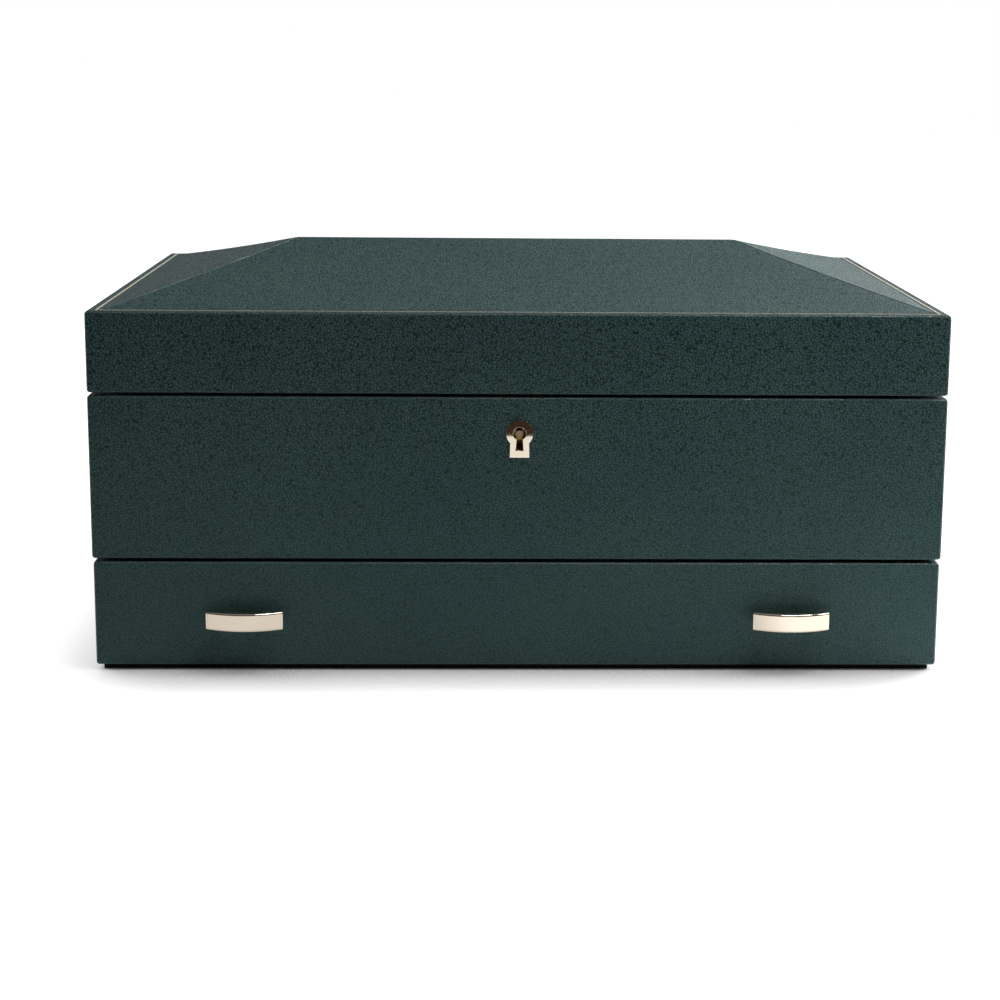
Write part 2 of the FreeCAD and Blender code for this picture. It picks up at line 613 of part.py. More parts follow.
node(cut("case_leather", cover, mouth, lock_plate, keyhole("cover_keyhole", "front_y", "leather"),
         case_screws, *case_recesses))

# Lining, dividers and cushions of the watch compartment

lining_blank = block("lining_blank", ("-inner_x", "inner_x"), ("inner_front_y", "inner_back_y"),
                     ("deck_top_z", "case_top_z - leather / 2"))
lining_hollow = block("lining_hollow", ("-lined_x", "lined_x"), ("lined_front_y", "lined_back_y"),
                      ("floor_z", "case_top_z"))
node(cut("case_lining", lining_blank, lining_hollow))

column_xs = [f"-lined_x + {i} * (slot_width + divider)" for i in range(COLUMNS)]
row_ys = [f"lined_front_y + {j} * (slot_depth + divider)" for j in range(ROWS)]
lap_z = "(floor_z + divider_top_z) / 2"
fit = "divider_fit"

# Half laps: the row dividers are notched from above and the column dividers from below.
for name, low_y in zip(("front", "rear"), [f"{y} - divider" for y in row_ys[1:]]):
    blank = block(f"row_{name}_blank", ("-lined_x", "lined_x"), (low_y, f"{low_y} + divider"),
                  ("floor_z", "divider_top_z"))
    notches = [block(f"row_{name}_notch_{i}", (f"{x} - divider - {fit}", f"{x} + {fit}"),
                     (low_y, f"{low_y} + divider"), (lap_z, "divider_top_z"))
               for i, x in enumerate(column_xs[1:])]
    node(cut(f"row_divider_{name}", blank, *notches))
for i, x in enumerate(column_xs[1:], start=1):
    blank = block(f"column_{i}_blank", (f"{x} - divider", x), ("lined_front_y", "lined_back_y"),
                  ("floor_z", "divider_top_z"))
    notches = [block(f"column_{i}_notch_{j}", (f"{x} - divider", x),
                     (f"{y} - divider - {fit}", f"{y} + {fit}"), ("floor_z", lap_z))
               for j, y in enumerate(row_ys[1:])]
    node(cut(f"column_divider_{i}", blank, *notches))

# One watch cushion: a rounded bolster that the strap goes round

cushion_half_depth = "(slot_depth / 2 - cushion_gap)"
cushion = profile("cushion", "YZ_Plane",
                  [("-" + cushion_half_depth, "0"), (cushion_half_depth, "0"),
                   (cushion_half_depth, "cushion_top_z - floor_z"),
                   ("-" + cushion_half_depth, "cushion_top_z - floor_z")],
                  "slot_width - 2 * cushion_gap")
fillet(cushion, "cushion_sides", runs_along("x"), "cushion_roll")
fillet(cushion, "cushion_ends",
       lambda edge: abs(abs(edge.CenterOfMass.x) - number("slot_width / 2 - cushion_gap")) < NEAR,
       "cushion_end")
for row_name, y in zip(("front", "middle", "rear"), row_ys):
    links = [copy(f"cushion_{row_name}_{i}", cushion,
                  f"{x} + slot_width / 2", f"{y} + slot_depth / 2", "floor_z")
             for i, x in enumerate(column_xs)]
    node(group(f"watch_cushions_{row_name}_row", links))

# Drawer bay: glide strips on the bottom board, stop blocks under the deck


def glide(name, x):
    """A strip on the bottom board that the drawer slides on."""
    return block(name, (f"{x} - glide_width / 2", f"{x} + glide_width / 2"), ("recess_y", "inner_back_y"),
                 ("bottom_top_z", "glide_top_z"))


def stop(name, x):
    """A block under the deck that the back of the drawer meets."""
    return block(name, (f"{x} - stop_width / 2", f"{x} + stop_width / 2"),
                 ("stop_back_y - stop_depth", "stop_back_y"),
                 ("band_board_z - stop_height", "band_board_z"))


node(group("drawer_glides", both("glide", glide, "glide_spacing")))
node(group("drawer_stops", both("stop", stop, "stop_spacing")))

# Drawer

post_xs = [f"{pull} + {sign} * post_spacing / 2"
           for pull in ("-pull_spacing / 2", "pull_spacing / 2") for sign in (-1, 1)]
front_holes = [rod(f"front_hole_{i}", "y", "pull_hole", "drawer_front_depth", x, "front_y", "pull_z")
               for i, x in enumerate(post_xs)]
head_rooms = [rod(f"head_room_{i}", "y", "pull_head + pull_head_room", "pull_head_height",
                  x, "pull_head_y", "pull_z") for i, x in enumerate(post_xs)]
drawer_front_blank = block("drawer_front_blank", ("-front_board_x", "front_board_x"),
                           ("board_front_y", "drawer_face_y"),
                           ("pad_height + leather", "drawer_front_top_z - leather"))
node(cut("drawer_front_board", drawer_front_blank, *front_holes, *head_rooms))
face = profile("drawer_leather_blank", "XZ_Plane",
               [("-front_x", "pad_height"), ("front_x", "pad_height"),
                ("front_x", "drawer_front_top_z"), ("-front_x", "drawer_front_top_z")],
               "drawer_front_depth", sides="One side", reverse=True)
at(face, "0", "front_y", "0")
fillet(face, "drawer_leather_round",
       lambda edge: runs_along("z")(edge) and abs(edge.CenterOfMass.y) < NEAR, "edge_round")
node(cut("drawer_front_leather", face, drawer_front_blank, *front_holes))

for side, low in (("left", "-drawer_x"), ("right", "drawer_in_x")):
    node(block(f"drawer_side_{side}", (low, f"{low} + drawer_board"), ("drawer_face_y", "drawer_back_y"),
               ("drawer_floor_z", "drawer_top_z")))
node(block("drawer_back", ("-drawer_in_x", "drawer_in_x"), ("drawer_in_back_y", "drawer_back_y"),
           ("drawer_floor_z", "drawer_back_top_z")))
node(block("drawer_bottom", ("-drawer_x", "drawer_x"), ("drawer_face_y", "drawer_back_y"),
           ("drawer_low_z", "drawer_floor_z")))
tray_blank = block("tray_blank", ("-drawer_in_x", "drawer_in_x"), ("drawer_face_y", "drawer_in_back_y"),
                   ("drawer_floor_z", "drawer_top_z - lining / 2"))
tray_hollow = block("tray_hollow", ("-drawer_lined_x", "drawer_lined_x"),
                    ("drawer_lined_front_y", "drawer_lined_back_y"), ("drawer_tray_z", "drawer_top_z"))
node(cut("drawer_lining", tray_blank, tray_hollow))

tray_span = ("drawer_lined_front_y", "drawer_lined_back_y")
cross_span = ("drawer_mid_y - drawer_divider / 2", "drawer_mid_y + drawer_divider / 2")
tray_z = ("drawer_tray_z", "drawer_divider_top_z")
tray_dividers = [
    block("ring_wall", ("ring_wall_x", "ring_wall_x + drawer_divider"), tray_span, tray_z),
    block("middle_wall", ("middle_wall_x", "middle_wall_x + drawer_divider"), tray_span, tray_z),
    block("cross_wall_middle", ("ring_wall_x + drawer_divider", "middle_wall_x"), cross_span, tray_z),
    block("cross_wall_right", ("middle_wall_x + drawer_divider", "drawer_lined_x"), cross_span, tray_z)]
node(group("drawer_dividers", tray_dividers))

# Ring rolls: straight sides with a round top, lying across the left tray
roll_base = block("roll_base", ("-drawer_lined_x", "ring_wall_x"), ("-ring_radius", "ring_radius"),
                  ("0", "ring_roll_height - ring_radius"))
roll_top = rod("roll_top", "x", "2 * ring_radius", "drawer_column", "-drawer_lined_x", "0",
               "ring_roll_height - ring_radius")
roll = join("roll", roll_base, roll_top)
rolls = [copy(f"ring_roll_{i}", roll, "0", f"drawer_lined_front_y + {i} * ring_pitch + ring_pitch / 2",
              "drawer_tray_z") for i in range(RING_ROLLS)]
node(group("ring_rolls", rolls))

# Pulls: a bar with a flat back and a bowed front on two posts, screwed from inside


def screw_at(name, x):
    """A round-headed screw from the inside of the drawer front into a post."""
    head = rod(name + "_head", "y", "pull_head", "pull_head_height", x, "pull_head_y", "pull_z")
    shank = rod(name + "_shank", "y", "pull_thread", "pull_head_y - pull_screw_y",
                x, "pull_screw_y", "pull_z")
    return join(name, head, shank)


pull_screws = [screw_at(f"pull_screw_{i}", x) for i, x in enumerate(post_xs)]
node(group("pull_screws", pull_screws))
pull_bars = {}
for side, x in (("left", "-pull_spacing / 2"), ("right", "pull_spacing / 2")):
    slab = block(f"pull_slab_{side}", (f"{x} - pull_width / 2", f"{x} + pull_width / 2"),
                 ("pull_chord_y - pull_bow", "pull_back_y"),
                 ("pull_z - pull_height / 2", "pull_z + pull_height / 2"))
    bow = rod(f"pull_bow_{side}", "z", "2 * pull_radius", "pull_height",
              x, "pull_chord_y - pull_bow + pull_radius", "pull_z - pull_height / 2")
    posts = [rod(f"pull_post_{side}_{i}", "y", "post_diameter", "pull_standoff",
                 f"{x} + {sign} * post_spacing / 2", "pull_back_y", "pull_z")
             for i, sign in enumerate((-1, 1))]
    bar = join(f"pull_solid_{side}", common(f"pull_bar_{side}", slab, bow), *posts)
    mine = pull_screws[:2] if side == "left" else pull_screws[2:]
    node(cut(f"drawer_pull_{side}", bar, *mine))

# Lid: rails, roof core, skirt, panels and gold line

rail_z = ("rail_low_z", "rail_top_z")
front_rail = block("front_rail_blank", ("-inner_x", "inner_x"), ("board_front_y", "inner_front_y"), rail_z)
back_rail = block("back_rail_blank", ("-inner_x", "inner_x"), ("inner_back_y", "board_back_y"), rail_z)
node(cut("lid_rail_front", front_rail, lid_screws))
node(cut("lid_rail_back", back_rail, lid_screws))
node(block("lid_rail_left", ("-board_x", "-inner_x"), ("board_front_y", "board_back_y"), rail_z))
node(block("lid_rail_right", ("inner_x", "board_x"), ("board_front_y", "board_back_y"), rail_z))


def hip_roof(name, base_z):
    """A hip roof over the inside of the rim, from its eaves to a ridge line."""
    roof = doc.addObject("Part::Wedge", name)
    roof.Placement = FreeCAD.Placement(Vector(), Rotation(Vector(1, 0, 0), 90))
    roof.Ymin = 0
    bind(roof, Xmin="-roof_x", Xmax="roof_x", Zmin="-roof_y", Zmax="roof_y", Ymax="roof_height",
         X2min="-ridge_x", X2max="ridge_x")
    roof.Z2min = 0
    roof.Z2max = 0
    return at(roof, "0", "0", base_z)


core_flange = block("core_flange", ("-board_x", "board_x"), ("board_front_y", "board_back_y"),
                    ("rail_top_z", "lid_board_top_z"))
core_roof = hip_roof("core_roof", "lid_board_top_z")
node(join("lid_roof_core", core_flange, core_roof))
eaves = block("roof_eaves", ("-roof_x", "roof_x"), ("-roof_y", "roof_y"), ("lid_board_top_z", "lid_top_z"))
roof_skin = cut("roof_skin", join("roof_outside", eaves, hip_roof("roof_top", "lid_top_z")), core_roof)

# Each panel is the part of the roof skin over its own plan, half a seam short of the hips.
hip_run = "(roof_x - ridge_x)"
seam_x = f"(panel_seam / 2 * sqrt({hip_run} * {hip_run} + roof_y * roof_y) / roof_y)"
seam_y = f"(panel_seam / 2 * sqrt({hip_run} * {hip_run} + roof_y * roof_y) / {hip_run})"
ridge_gap = "panel_seam / 2"
ridge_end = f"ridge_x - {seam_x} + {ridge_gap} * {hip_run} / roof_y"
long_plan = [(f"{seam_x} - roof_x", "-roof_y"), (f"roof_x - {seam_x}", "-roof_y"),
             (ridge_end, f"-{ridge_gap}"), (f"-({ridge_end})", f"-{ridge_gap}")]
short_plan = [("-roof_x", f"{seam_y} - roof_y"), (f"-ridge_x - {seam_x}", "0"),
              ("-roof_x", f"roof_y - {seam_y}")]


def turned(corners, x_sign, y_sign):
    """The same plan on another side of the roof."""
    return [(f"{x_sign} * ({x})", f"{y_sign} * ({y})") for x, y in corners]


for side, plan in (("front", turned(long_plan, 1, 1)), ("back", turned(long_plan, 1, -1)),
                   ("left", turned(short_plan, 1, 1)), ("right", turned(short_plan, -1, 1))):
    tower = profile(f"plan_{side}", "XY_Plane", plan, "roof_height + leather", sides="One side")
    at(tower, "0", "0", "lid_board_top_z")
    node(common(f"lid_panel_{side}", roof_skin, tower))

skirt_blank = profile("skirt_blank", "XY_Plane",
                      [("-side_x", "front_y"), ("side_x", "front_y"),
                       ("side_x", "back_y"), ("-side_x", "back_y")],
                      "lid_side", sides="One side")
fillet(skirt_blank, "skirt_round", runs_along("z"), "edge_round")
at(skirt_blank, "0", "0", "lid_low_z")
skirt_inside = block("skirt_inside", ("-board_x", "board_x"), ("board_front_y", "board_back_y"),
                     ("rail_low_z", "lid_board_top_z"))
skirt_mouth = block("skirt_mouth", ("-inner_x", "inner_x"), ("inner_front_y", "inner_back_y"),
                    ("lid_low_z", "rail_low_z"))
strike_room = block("strike_room", ("-lock_plate_width / 2", "lock_plate_width / 2"),
                    ("lock_front_y", "inner_front_y"), ("lid_low_z", "rail_low_z"))
lid_recesses = [leaf_recess(f"lid_recess_{side}", x, "lid_low_z", "lid_leaf_low_z + hinge_leaf")
                for side, x in hinge_xs.items()]
node(cut("lid_leather_skirt", skirt_blank, skirt_inside, skirt_mouth, eaves, strike_room, lid_screws,
         *lid_recesses))

line_z = ("lid_top_z", "lid_top_z + line_height")
line_outside = block("line_outside", ("-line_x", "line_x"), ("-line_y", "line_y"), line_z)
line_inside = block("line_inside", ("line_width - line_x", "line_x - line_width"),
                    ("line_width - line_y", "line_y - line_width"), line_z)
node(cut("lid_gold_line", line_outside, line_inside))

lid_lining_blank = block("lid_lining_blank", ("-inner_x", "inner_x"), ("inner_front_y", "inner_back_y"),
                         ("lid_low_z + leather / 2", "rail_top_z"))
lid_lining_hollow = block("lid_lining_hollow", ("-lined_x", "lined_x"), ("lined_front_y", "lined_back_y"),
                          ("lid_low_z", "rail_top_z"))
node(cut("lid_lining", lid_lining_blank, lid_lining_hollow))
node(block("lid_ceiling_pad", ("ceiling_gap - lined_x", "lined_x - ceiling_gap"),
           ("lined_front_y + ceiling_gap", "lined_back_y - ceiling_gap"),
           ("rail_top_z - ceiling_pad", "rail_top_z")))

# Strike plate in the lower edge of the lid, with two eyed prongs that drop into the lock


def prong(name, x):
    """A flat prong with an eye for a tongue of the bolt."""
    stem = block(name + "_stem", (f"{x} - prong_width / 2", f"{x} + prong_width / 2"),
                 ("lock_y - prong_depth / 2", "lock_y + prong_depth / 2"), ("prong_low_z", "lid_low_z"))
    eye = block(name + "_eye", (f"{x} - prong_width / 2", f"{x} + prong_width / 2"),
                ("lock_y - eye_depth / 2", "lock_y + eye_depth / 2"),
                ("eye_low_z", "eye_low_z + eye_height"))
    return cut(name, stem, eye)


strike_blank = cut("strike_blank", strike_room, lid_screws)
node(join("strike_solid", strike_blank, *both("prong", prong, "prong_spacing")), "strike_plate")

# Hinges

end_knuckle = "(hinge_width - knuckle_middle) / 2 - knuckle_gap"


def knuckle(name, x, length):
    """A barrel round the pin."""
    return rod(name, "x", "knuckle_diameter", length, x, "hinge_y", "hinge_z")


def heel(name, x, width, angle, side):
    """A stop that stands out from a knuckle at an angle above the level."""
    plate = block(name, ("0", width), ("heel_root", "heel_length"),
                  ("0", "heel_thickness") if side > 0 else ("-heel_thickness", "0"))
    turn = doc.addObject("Part::Compound", name + "_turned")
    turn.Links = [plate]
    turn.Placement = FreeCAD.Placement(Vector(), Rotation(Vector(1, 0, 0), 1))
    bind(turn, Placement__Rotation__Angle=angle)
    return at(turn, x, "hinge_y", "hinge_z")


hinge_pins = []
for side, x in hinge_xs.items():
    low_x = f"{x} - hinge_width / 2"
    bore = rod(f"hinge_bore_{side}", "x", "hinge_pin + 2 * hinge_pin_fit", "hinge_width", low_x,
               "hinge_y", "hinge_z")
    hinge_pins.append(rod(f"hinge_pin_{side}", "x", "hinge_pin", "hinge_width", low_x,
                          "hinge_y", "hinge_z"))
    middle_room = rod(f"middle_room_{side}", "x", "knuckle_diameter + 2 * knuckle_gap",
                      "knuckle_middle + 2 * knuckle_gap", f"{x} - knuckle_middle / 2 - knuckle_gap",
                      "hinge_y", "hinge_z")
    case_leaf = block(f"case_leaf_{side}", (low_x, f"{x} + hinge_width / 2"),
                      ("leaf_front_y", "hinge_y"), ("case_leaf_low_z", "case_leaf_low_z + hinge_leaf"))
    case_heel = heel(f"case_heel_{side}", low_x, "hinge_width", "-heel_angle", -1)
    case_barrels = [knuckle(f"case_knuckle_{side}_1", low_x, end_knuckle),
                    knuckle(f"case_knuckle_{side}_2", f"{x} + knuckle_middle / 2 + knuckle_gap",
                            end_knuckle)]
    case_solid = cut(f"case_leaf_solid_{side}", join(f"case_leaf_joined_{side}", case_leaf, case_heel),
                     middle_room)
    node(cut(f"hinge_case_leaf_{side}", join(f"case_leaf_whole_{side}", case_solid, *case_barrels),
             bore, case_screws))
    end_rooms = [rod(f"end_room_{side}_{i}", "x", "knuckle_diameter + 2 * knuckle_gap",
                     end_knuckle + " + knuckle_gap", start, "hinge_y", "hinge_z")
                 for i, start in enumerate((low_x, f"{x} + knuckle_middle / 2"))]
    lid_leaf = block(f"lid_leaf_{side}", (low_x, f"{x} + hinge_width / 2"), ("leaf_front_y", "hinge_y"),
                     ("lid_leaf_low_z", "lid_leaf_low_z + hinge_leaf"))
    lid_heel = heel(f"lid_heel_{side}", f"{x} - knuckle_middle / 2", "knuckle_middle",
                    "lid_opening + heel_slack - heel_angle", 1)
    lid_barrel = knuckle(f"lid_knuckle_{side}", f"{x} - knuckle_middle / 2", "knuckle_middle")
    lid_solid = cut(f"lid_leaf_solid_{side}", lid_leaf, *end_rooms)
    node(cut(f"hinge_lid_leaf_{side}", join(f"lid_leaf_whole_{side}", lid_solid, lid_heel, lid_barrel),
             bore, lid_screws))
node(group("hinge_pins", hinge_pins))

# Check every object, then write each node to its own file

doc.recompute()
faults = [item.Name for item in doc.Objects if "Invalid" in item.State or "Error" in item.State]
for piece in nodes:
    shape = piece.Shape
    if shape.isNull() or not shape.isValid() or not shape.Solids:
        faults.append(piece.Label)
if faults:
    raise RuntimeError("These objects failed: " + ", ".join(faults))
os.makedirs("parts", exist_ok=True)
for piece in nodes:
    piece.Shape.exportStep(os.path.join("parts", piece.Label + ".step"))
    print(f"{piece.Label}: {len(piece.Shape.Solids)} solids, {piece.Shape.Volume / 1000:.2f} cm3")
print(len(nodes), "nodes")
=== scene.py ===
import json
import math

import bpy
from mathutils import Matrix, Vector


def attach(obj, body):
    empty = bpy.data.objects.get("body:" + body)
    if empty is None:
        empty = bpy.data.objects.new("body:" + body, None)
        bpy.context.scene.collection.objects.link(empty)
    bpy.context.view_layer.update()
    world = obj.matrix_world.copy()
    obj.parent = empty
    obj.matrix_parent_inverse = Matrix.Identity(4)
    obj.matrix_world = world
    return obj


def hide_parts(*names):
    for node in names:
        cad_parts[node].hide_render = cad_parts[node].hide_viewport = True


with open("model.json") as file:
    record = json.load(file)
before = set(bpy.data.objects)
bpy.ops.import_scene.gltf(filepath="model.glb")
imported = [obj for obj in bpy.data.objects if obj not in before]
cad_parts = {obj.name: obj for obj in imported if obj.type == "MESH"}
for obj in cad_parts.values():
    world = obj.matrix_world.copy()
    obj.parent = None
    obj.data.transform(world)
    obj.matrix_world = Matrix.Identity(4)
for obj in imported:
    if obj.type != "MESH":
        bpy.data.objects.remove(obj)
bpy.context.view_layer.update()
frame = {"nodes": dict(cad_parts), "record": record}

# %% [markdown]
# # A leather watch box with a drawer
#
# The imported model is the fixed frame: every board, hinge and screw already lies where it
# belongs. This lesson dresses it. The leather covers get soft corners and a grain, the
# cushions get their padding and the metal gets its polish.

MM = 0.001
scene = bpy.context.scene
cad = frame["nodes"]
slot_of = {row["node"]: row["material_slot"] for row in frame["record"]["subparts"]}
print(len(cad), "pieces in the frame, in", len(set(slot_of.values())), "finishes")

# %% [markdown]
# ## The camera
#
# A product photograph like this one is taken from a little above the lid with a long lens,
# so that the upright edges stay nearly parallel. The place, the tilt and the lens were
# worked out from the corners of the lid and of the case. A small sideways shift of the lens
# moves the box to its place in the picture. It stays small, because every other view of the
# box keeps it.

# %% Camera
CAMERA_PLACE = Vector((-18.5, -1095.7, 276.1)) * MM
CAMERA_TURN = {"pitch": 11.64, "yaw": 1.66, "roll": 0.50}
LENS_MM = 79.2
SENSOR_MM = 36
LENS_SHIFT = -0.04

turn = (Matrix.Rotation(-math.radians(CAMERA_TURN["yaw"]), 3, "Z")
        @ Matrix.Rotation(math.radians(90 - CAMERA_TURN["pitch"]), 3, "X")
        @ Matrix.Rotation(math.radians(CAMERA_TURN["roll"]), 3, "Z"))
bpy.ops.object.camera_add(location=CAMERA_PLACE, rotation=turn.to_euler())
camera = bpy.context.object
camera.data.sensor_width = SENSOR_MM
camera.data.lens = LENS_MM
camera.data.shift_x = LENS_SHIFT
camera.data.clip_start = 10 * MM
scene.camera = camera
print("camera at", [round(c, 3) for c in camera.location], "lens", LENS_MM, "mm")

# %% [markdown]
# ## Small modelling tools
#
# An operator acts on everything that is selected, and loading the frame leaves its pieces
# selected. So each helper first selects one piece and nothing else. The faces or edges to
# work on are then picked by where they are and which way they point, as a hand would pick
# them with the mouse.

# %% Selecting and starting a piece
def only(piece):
    """Select one piece and nothing else, out of edit mode."""
    if bpy.context.mode == "EDIT_MESH":
        bpy.ops.object.mode_set(mode="OBJECT")
    bpy.ops.object.select_all(action="DESELECT")
    piece.select_set(True)
    bpy.context.view_layer.objects.active = piece


def settle(name):
    """Name the newest primitive and move its place into its mesh."""
    piece = bpy.context.object
    bpy.ops.object.transform_apply(location=True, rotation=True, scale=True)
    piece.name = name
    return piece


def block(name, low, high):
    """A cube stretched between two corners in millimetres."""
    bpy.ops.object.select_all(action="DESELECT")
    bpy.ops.mesh.primitive_cube_add(
        size=1, location=[(a + b) / 2 * MM for a, b in zip(low, high)],
        scale=[(b - a) * MM for a, b in zip(low, high)])
    return settle(name)


def bar(name, middle, diameter, length, along="Z", sides=64):
    """A cylinder round a middle point in millimetres, along one axis."""
    bpy.ops.object.select_all(action="DESELECT")
    turned = {"X": (0, math.pi / 2, 0), "Y": (math.pi / 2, 0, 0), "Z": (0, 0, 0)}[along]
    bpy.ops.mesh.primitive_cylinder_add(
        vertices=sides, radius=diameter / 2 * MM, depth=length * MM,
        location=[c * MM for c in middle], rotation=turned)
    return settle(name)


# %% Picking faces and edges, and applying a modifier
def pick(piece, kind, test):
    """Select the faces or edges whose middle and direction pass a test, in edit mode."""
    only(piece)
    bpy.ops.object.mode_set(mode="EDIT")
    bpy.ops.mesh.select_mode(type=kind)
    bpy.ops.mesh.select_all(action="DESELECT")
    bpy.ops.object.mode_set(mode="OBJECT")
    mesh = piece.data
    if kind == "FACE":
        for face in mesh.polygons:
            face.select = test(face.center / MM, face.normal)
    else:
        for edge in mesh.edges:
            one, other = (mesh.vertices[i].co for i in edge.vertices)
            edge.select = test((one + other) / 2 / MM, (other - one).normalized())
    bpy.ops.object.mode_set(mode="EDIT")


def done():
    """Leave edit mode."""
    bpy.ops.object.mode_set(mode="OBJECT")


def finish_with(piece, kind, **settings):
    """Add a modifier to a piece and apply it."""
    only(piece)
    modifier = piece.modifiers.new(kind.title(), kind)
    for name, value in settings.items():
        setattr(modifier, name, value)
    bpy.ops.object.modifier_apply(modifier=modifier.name)
    return piece


def carve(piece, *cutters, operation="DIFFERENCE"):
    """Cut a piece with others, or keep what they share, and remove the cutters."""
    for cutter in cutters:
        finish_with(piece, "BOOLEAN", object=cutter, operation=operation, solver="EXACT")
        bpy.data.objects.remove(cutter)
    return piece


def soften(piece, radius, segments=4, angle=40, clamp=True):
    """Round the sharp edges of a piece and smooth its shading."""
    finish_with(piece, "BEVEL", width=radius * MM, segments=segments, limit_method="ANGLE",
                angle_limit=math.radians(angle), use_clamp_overlap=clamp)
    bpy.ops.object.shade_smooth_by_angle(angle=math.radians(angle))
    return piece


def stick(name, *pieces):
    """Join pieces into one object."""
    bpy.ops.object.select_all(action="DESELECT")
    for piece in pieces:
        piece.select_set(True)
    bpy.context.view_layer.objects.active = pieces[0]
    bpy.ops.object.join()
    pieces[0].name = name
    return pieces[0]


def twin(piece, name, move):
    """A copy of a piece with its own mesh, moved by millimetres."""
    copied = piece.copy()
    copied.data = piece.data.copy()
    copied.name = name
    scene.collection.objects.link(copied)
    copied.data.transform(Matrix.Translation(Vector(move) * MM))
    return copied


# %% [markdown]
# ## Finishes
#
# Every finish starts from what the real one is. Its colours are written as they are seen on
# a screen, in hex, and one function turns them into the linear values that the renderer
# works with. One more function adds a node with its settings and links. Patterns are sized
# in millimetres on the object itself, so a grain has the same size on every piece.

# %% Colour and nodes
def seen(code):
    """A screen colour in hex as linear red, green, blue and alpha."""
    parts = [int(code[i:i + 2], 16) / 255 for i in (1, 3, 5)]
    return [p / 12.92 if p <= 0.04045 else ((p + 0.055) / 1.055) ** 2.4 for p in parts] + [1]


def node(tree, kind, inputs=None, **settings):
    """Add a node. Inputs are values or the outputs of other nodes."""
    made = tree.nodes.new("ShaderNode" + kind)
    for name, value in settings.items():
        setattr(made, name, value)
    for name, value in (inputs or {}).items():
        if isinstance(value, bpy.types.NodeSocket):
            tree.links.new(value, made.inputs[name])
        else:
            made.inputs[name].default_value = value
    return made


def finish(name):
    """A new material: its tree, its shader and the object's own coordinates."""
    material = bpy.data.materials.new(name)
    material.use_nodes = True
    tree = material.node_tree
    shader = tree.nodes["Principled BSDF"]
    place = node(tree, "TexCoord").outputs["Object"]
    return material, tree, shader, place


finishes = {}

# %% [markdown]
# ### Pebbled calfskin
#
# Dyed calfskin is pressed with a hot plate that leaves small domes with creases between
# them, and then gets a thin clear finish. The domes catch the light and the creases stay
# dark: the gloss and the bump read one pattern of cells, and the colour is darkened in the
# creases by the same pattern, which is painted shade. A pressed grain is never quite
# regular: one noise bends the cells, and a second one breaks the creases off where the
# plate pressed lightly, which it did low down on the box as well.

# %% The grain of the leather
GRAIN_MM = 1.25
BEND_MM = 1.2
BEND_EVERY_MM = 1.8
BREAK_EVERY_MM = 1.1
LIGHT_PRESS_Z_MM, FULL_PRESS_Z_MM = 30, 150

leather, tree, shader, place = finish("pebbled_calfskin")
wander = node(tree, "TexNoise", {"Vector": place, "Scale": 1 / (BEND_EVERY_MM * MM),
                                 "Detail": 2.0})
bent = node(tree, "MixRGB", {0: BEND_MM * MM, 1: place, 2: wander.outputs["Color"]},
            blend_type="ADD")
cells = node(tree, "TexVoronoi", {"Vector": bent.outputs[0], "Scale": 1 / (GRAIN_MM * MM),
                                  "Randomness": 1.0}, feature="DISTANCE_TO_EDGE")
crease = node(tree, "MapRange", {"Value": cells.outputs["Distance"], "From Max": 0.25,
                                 "To Min": 1.0, "To Max": 0.0}, interpolation_type="SMOOTHSTEP")
breaks = node(tree, "TexNoise", {"Vector": place, "Scale": 1 / (BREAK_EVERY_MM * MM),
                                 "Detail": 1.0})
pressed = node(tree, "MapRange", {"Value": breaks.outputs["Fac"], "From Min": 0.36,
                                  "From Max": 0.56, "To Min": 0.65, "To Max": 1.0})
level = node(tree, "SeparateXYZ", {0: place})
firm = node(tree, "MapRange", {"Value": level.outputs["Z"], "From Min": LIGHT_PRESS_Z_MM * MM,
                               "From Max": FULL_PRESS_Z_MM * MM, "To Min": 0.45, "To Max": 1.0})
broken = node(tree, "Math", {0: crease.outputs["Result"], 1: pressed.outputs["Result"]},
              operation="MULTIPLY")
depth = node(tree, "Math", {0: broken.outputs[0], 1: firm.outputs["Result"]},
             operation="MULTIPLY")
print("leather: grain", GRAIN_MM, "mm")

# %% [markdown]
# The dye takes a little more here and less there, in patches as wide as a hand. Where the
# skin turns round an edge, the folding bone has burnished it: it is smoother there and
# shines more, which draws the light lines along the edges. On a flat face of the box the
# normal lies close to one axis, so a normal far from all three shows where the skin turns.

# %% Dye, gloss and relief of the leather
FINE_GRAIN_MM = 0.5
DYE_PATCH_MM = 70
RELIEF_MM = 0.22

patches = node(tree, "TexNoise", {"Vector": place, "Scale": 1 / (DYE_PATCH_MM * MM),
                                  "Detail": 3.0})
dye = node(tree, "ValToRGB", {"Fac": patches.outputs["Fac"]})
dye.color_ramp.elements[0].position = 0.35
dye.color_ramp.elements[0].color = seen("#3b5a5b")
dye.color_ramp.elements[1].position = 0.65
dye.color_ramp.elements[1].color = seen("#40605f")
# Painted shade: the colour is mixed towards a dark #0f2424 in the creases, by the crease mask.
painted_crease_shade = node(tree, "MixRGB", {0: depth.outputs[0], 1: dye.outputs["Color"], 2: seen("#0f2424")})
tree.links.new(painted_crease_shade.outputs[0], shader.inputs["Base Color"])
facing = node(tree, "SeparateXYZ", {0: node(tree, "TexCoord").outputs["Normal"]})
flat = 0.0
for axis in "XYZ":
    size = node(tree, "Math", {0: facing.outputs[axis]}, operation="ABSOLUTE")
    flat = node(tree, "Math", {0: flat, 1: size.outputs[0]}, operation="MAXIMUM").outputs[0]
turned = node(tree, "MapRange", {"Value": flat, "From Min": 0.80, "From Max": 0.95,
                                 "To Min": 1.0, "To Max": 0.0})
gloss = node(tree, "MapRange", {"Value": depth.outputs[0], "To Min": 0.36, "To Max": 0.75})
burnished = node(tree, "Math", {0: turned.outputs["Result"], 1: -0.12,
                                2: gloss.outputs["Result"]}, operation="MULTIPLY_ADD")
tree.links.new(burnished.outputs[0], shader.inputs["Roughness"])
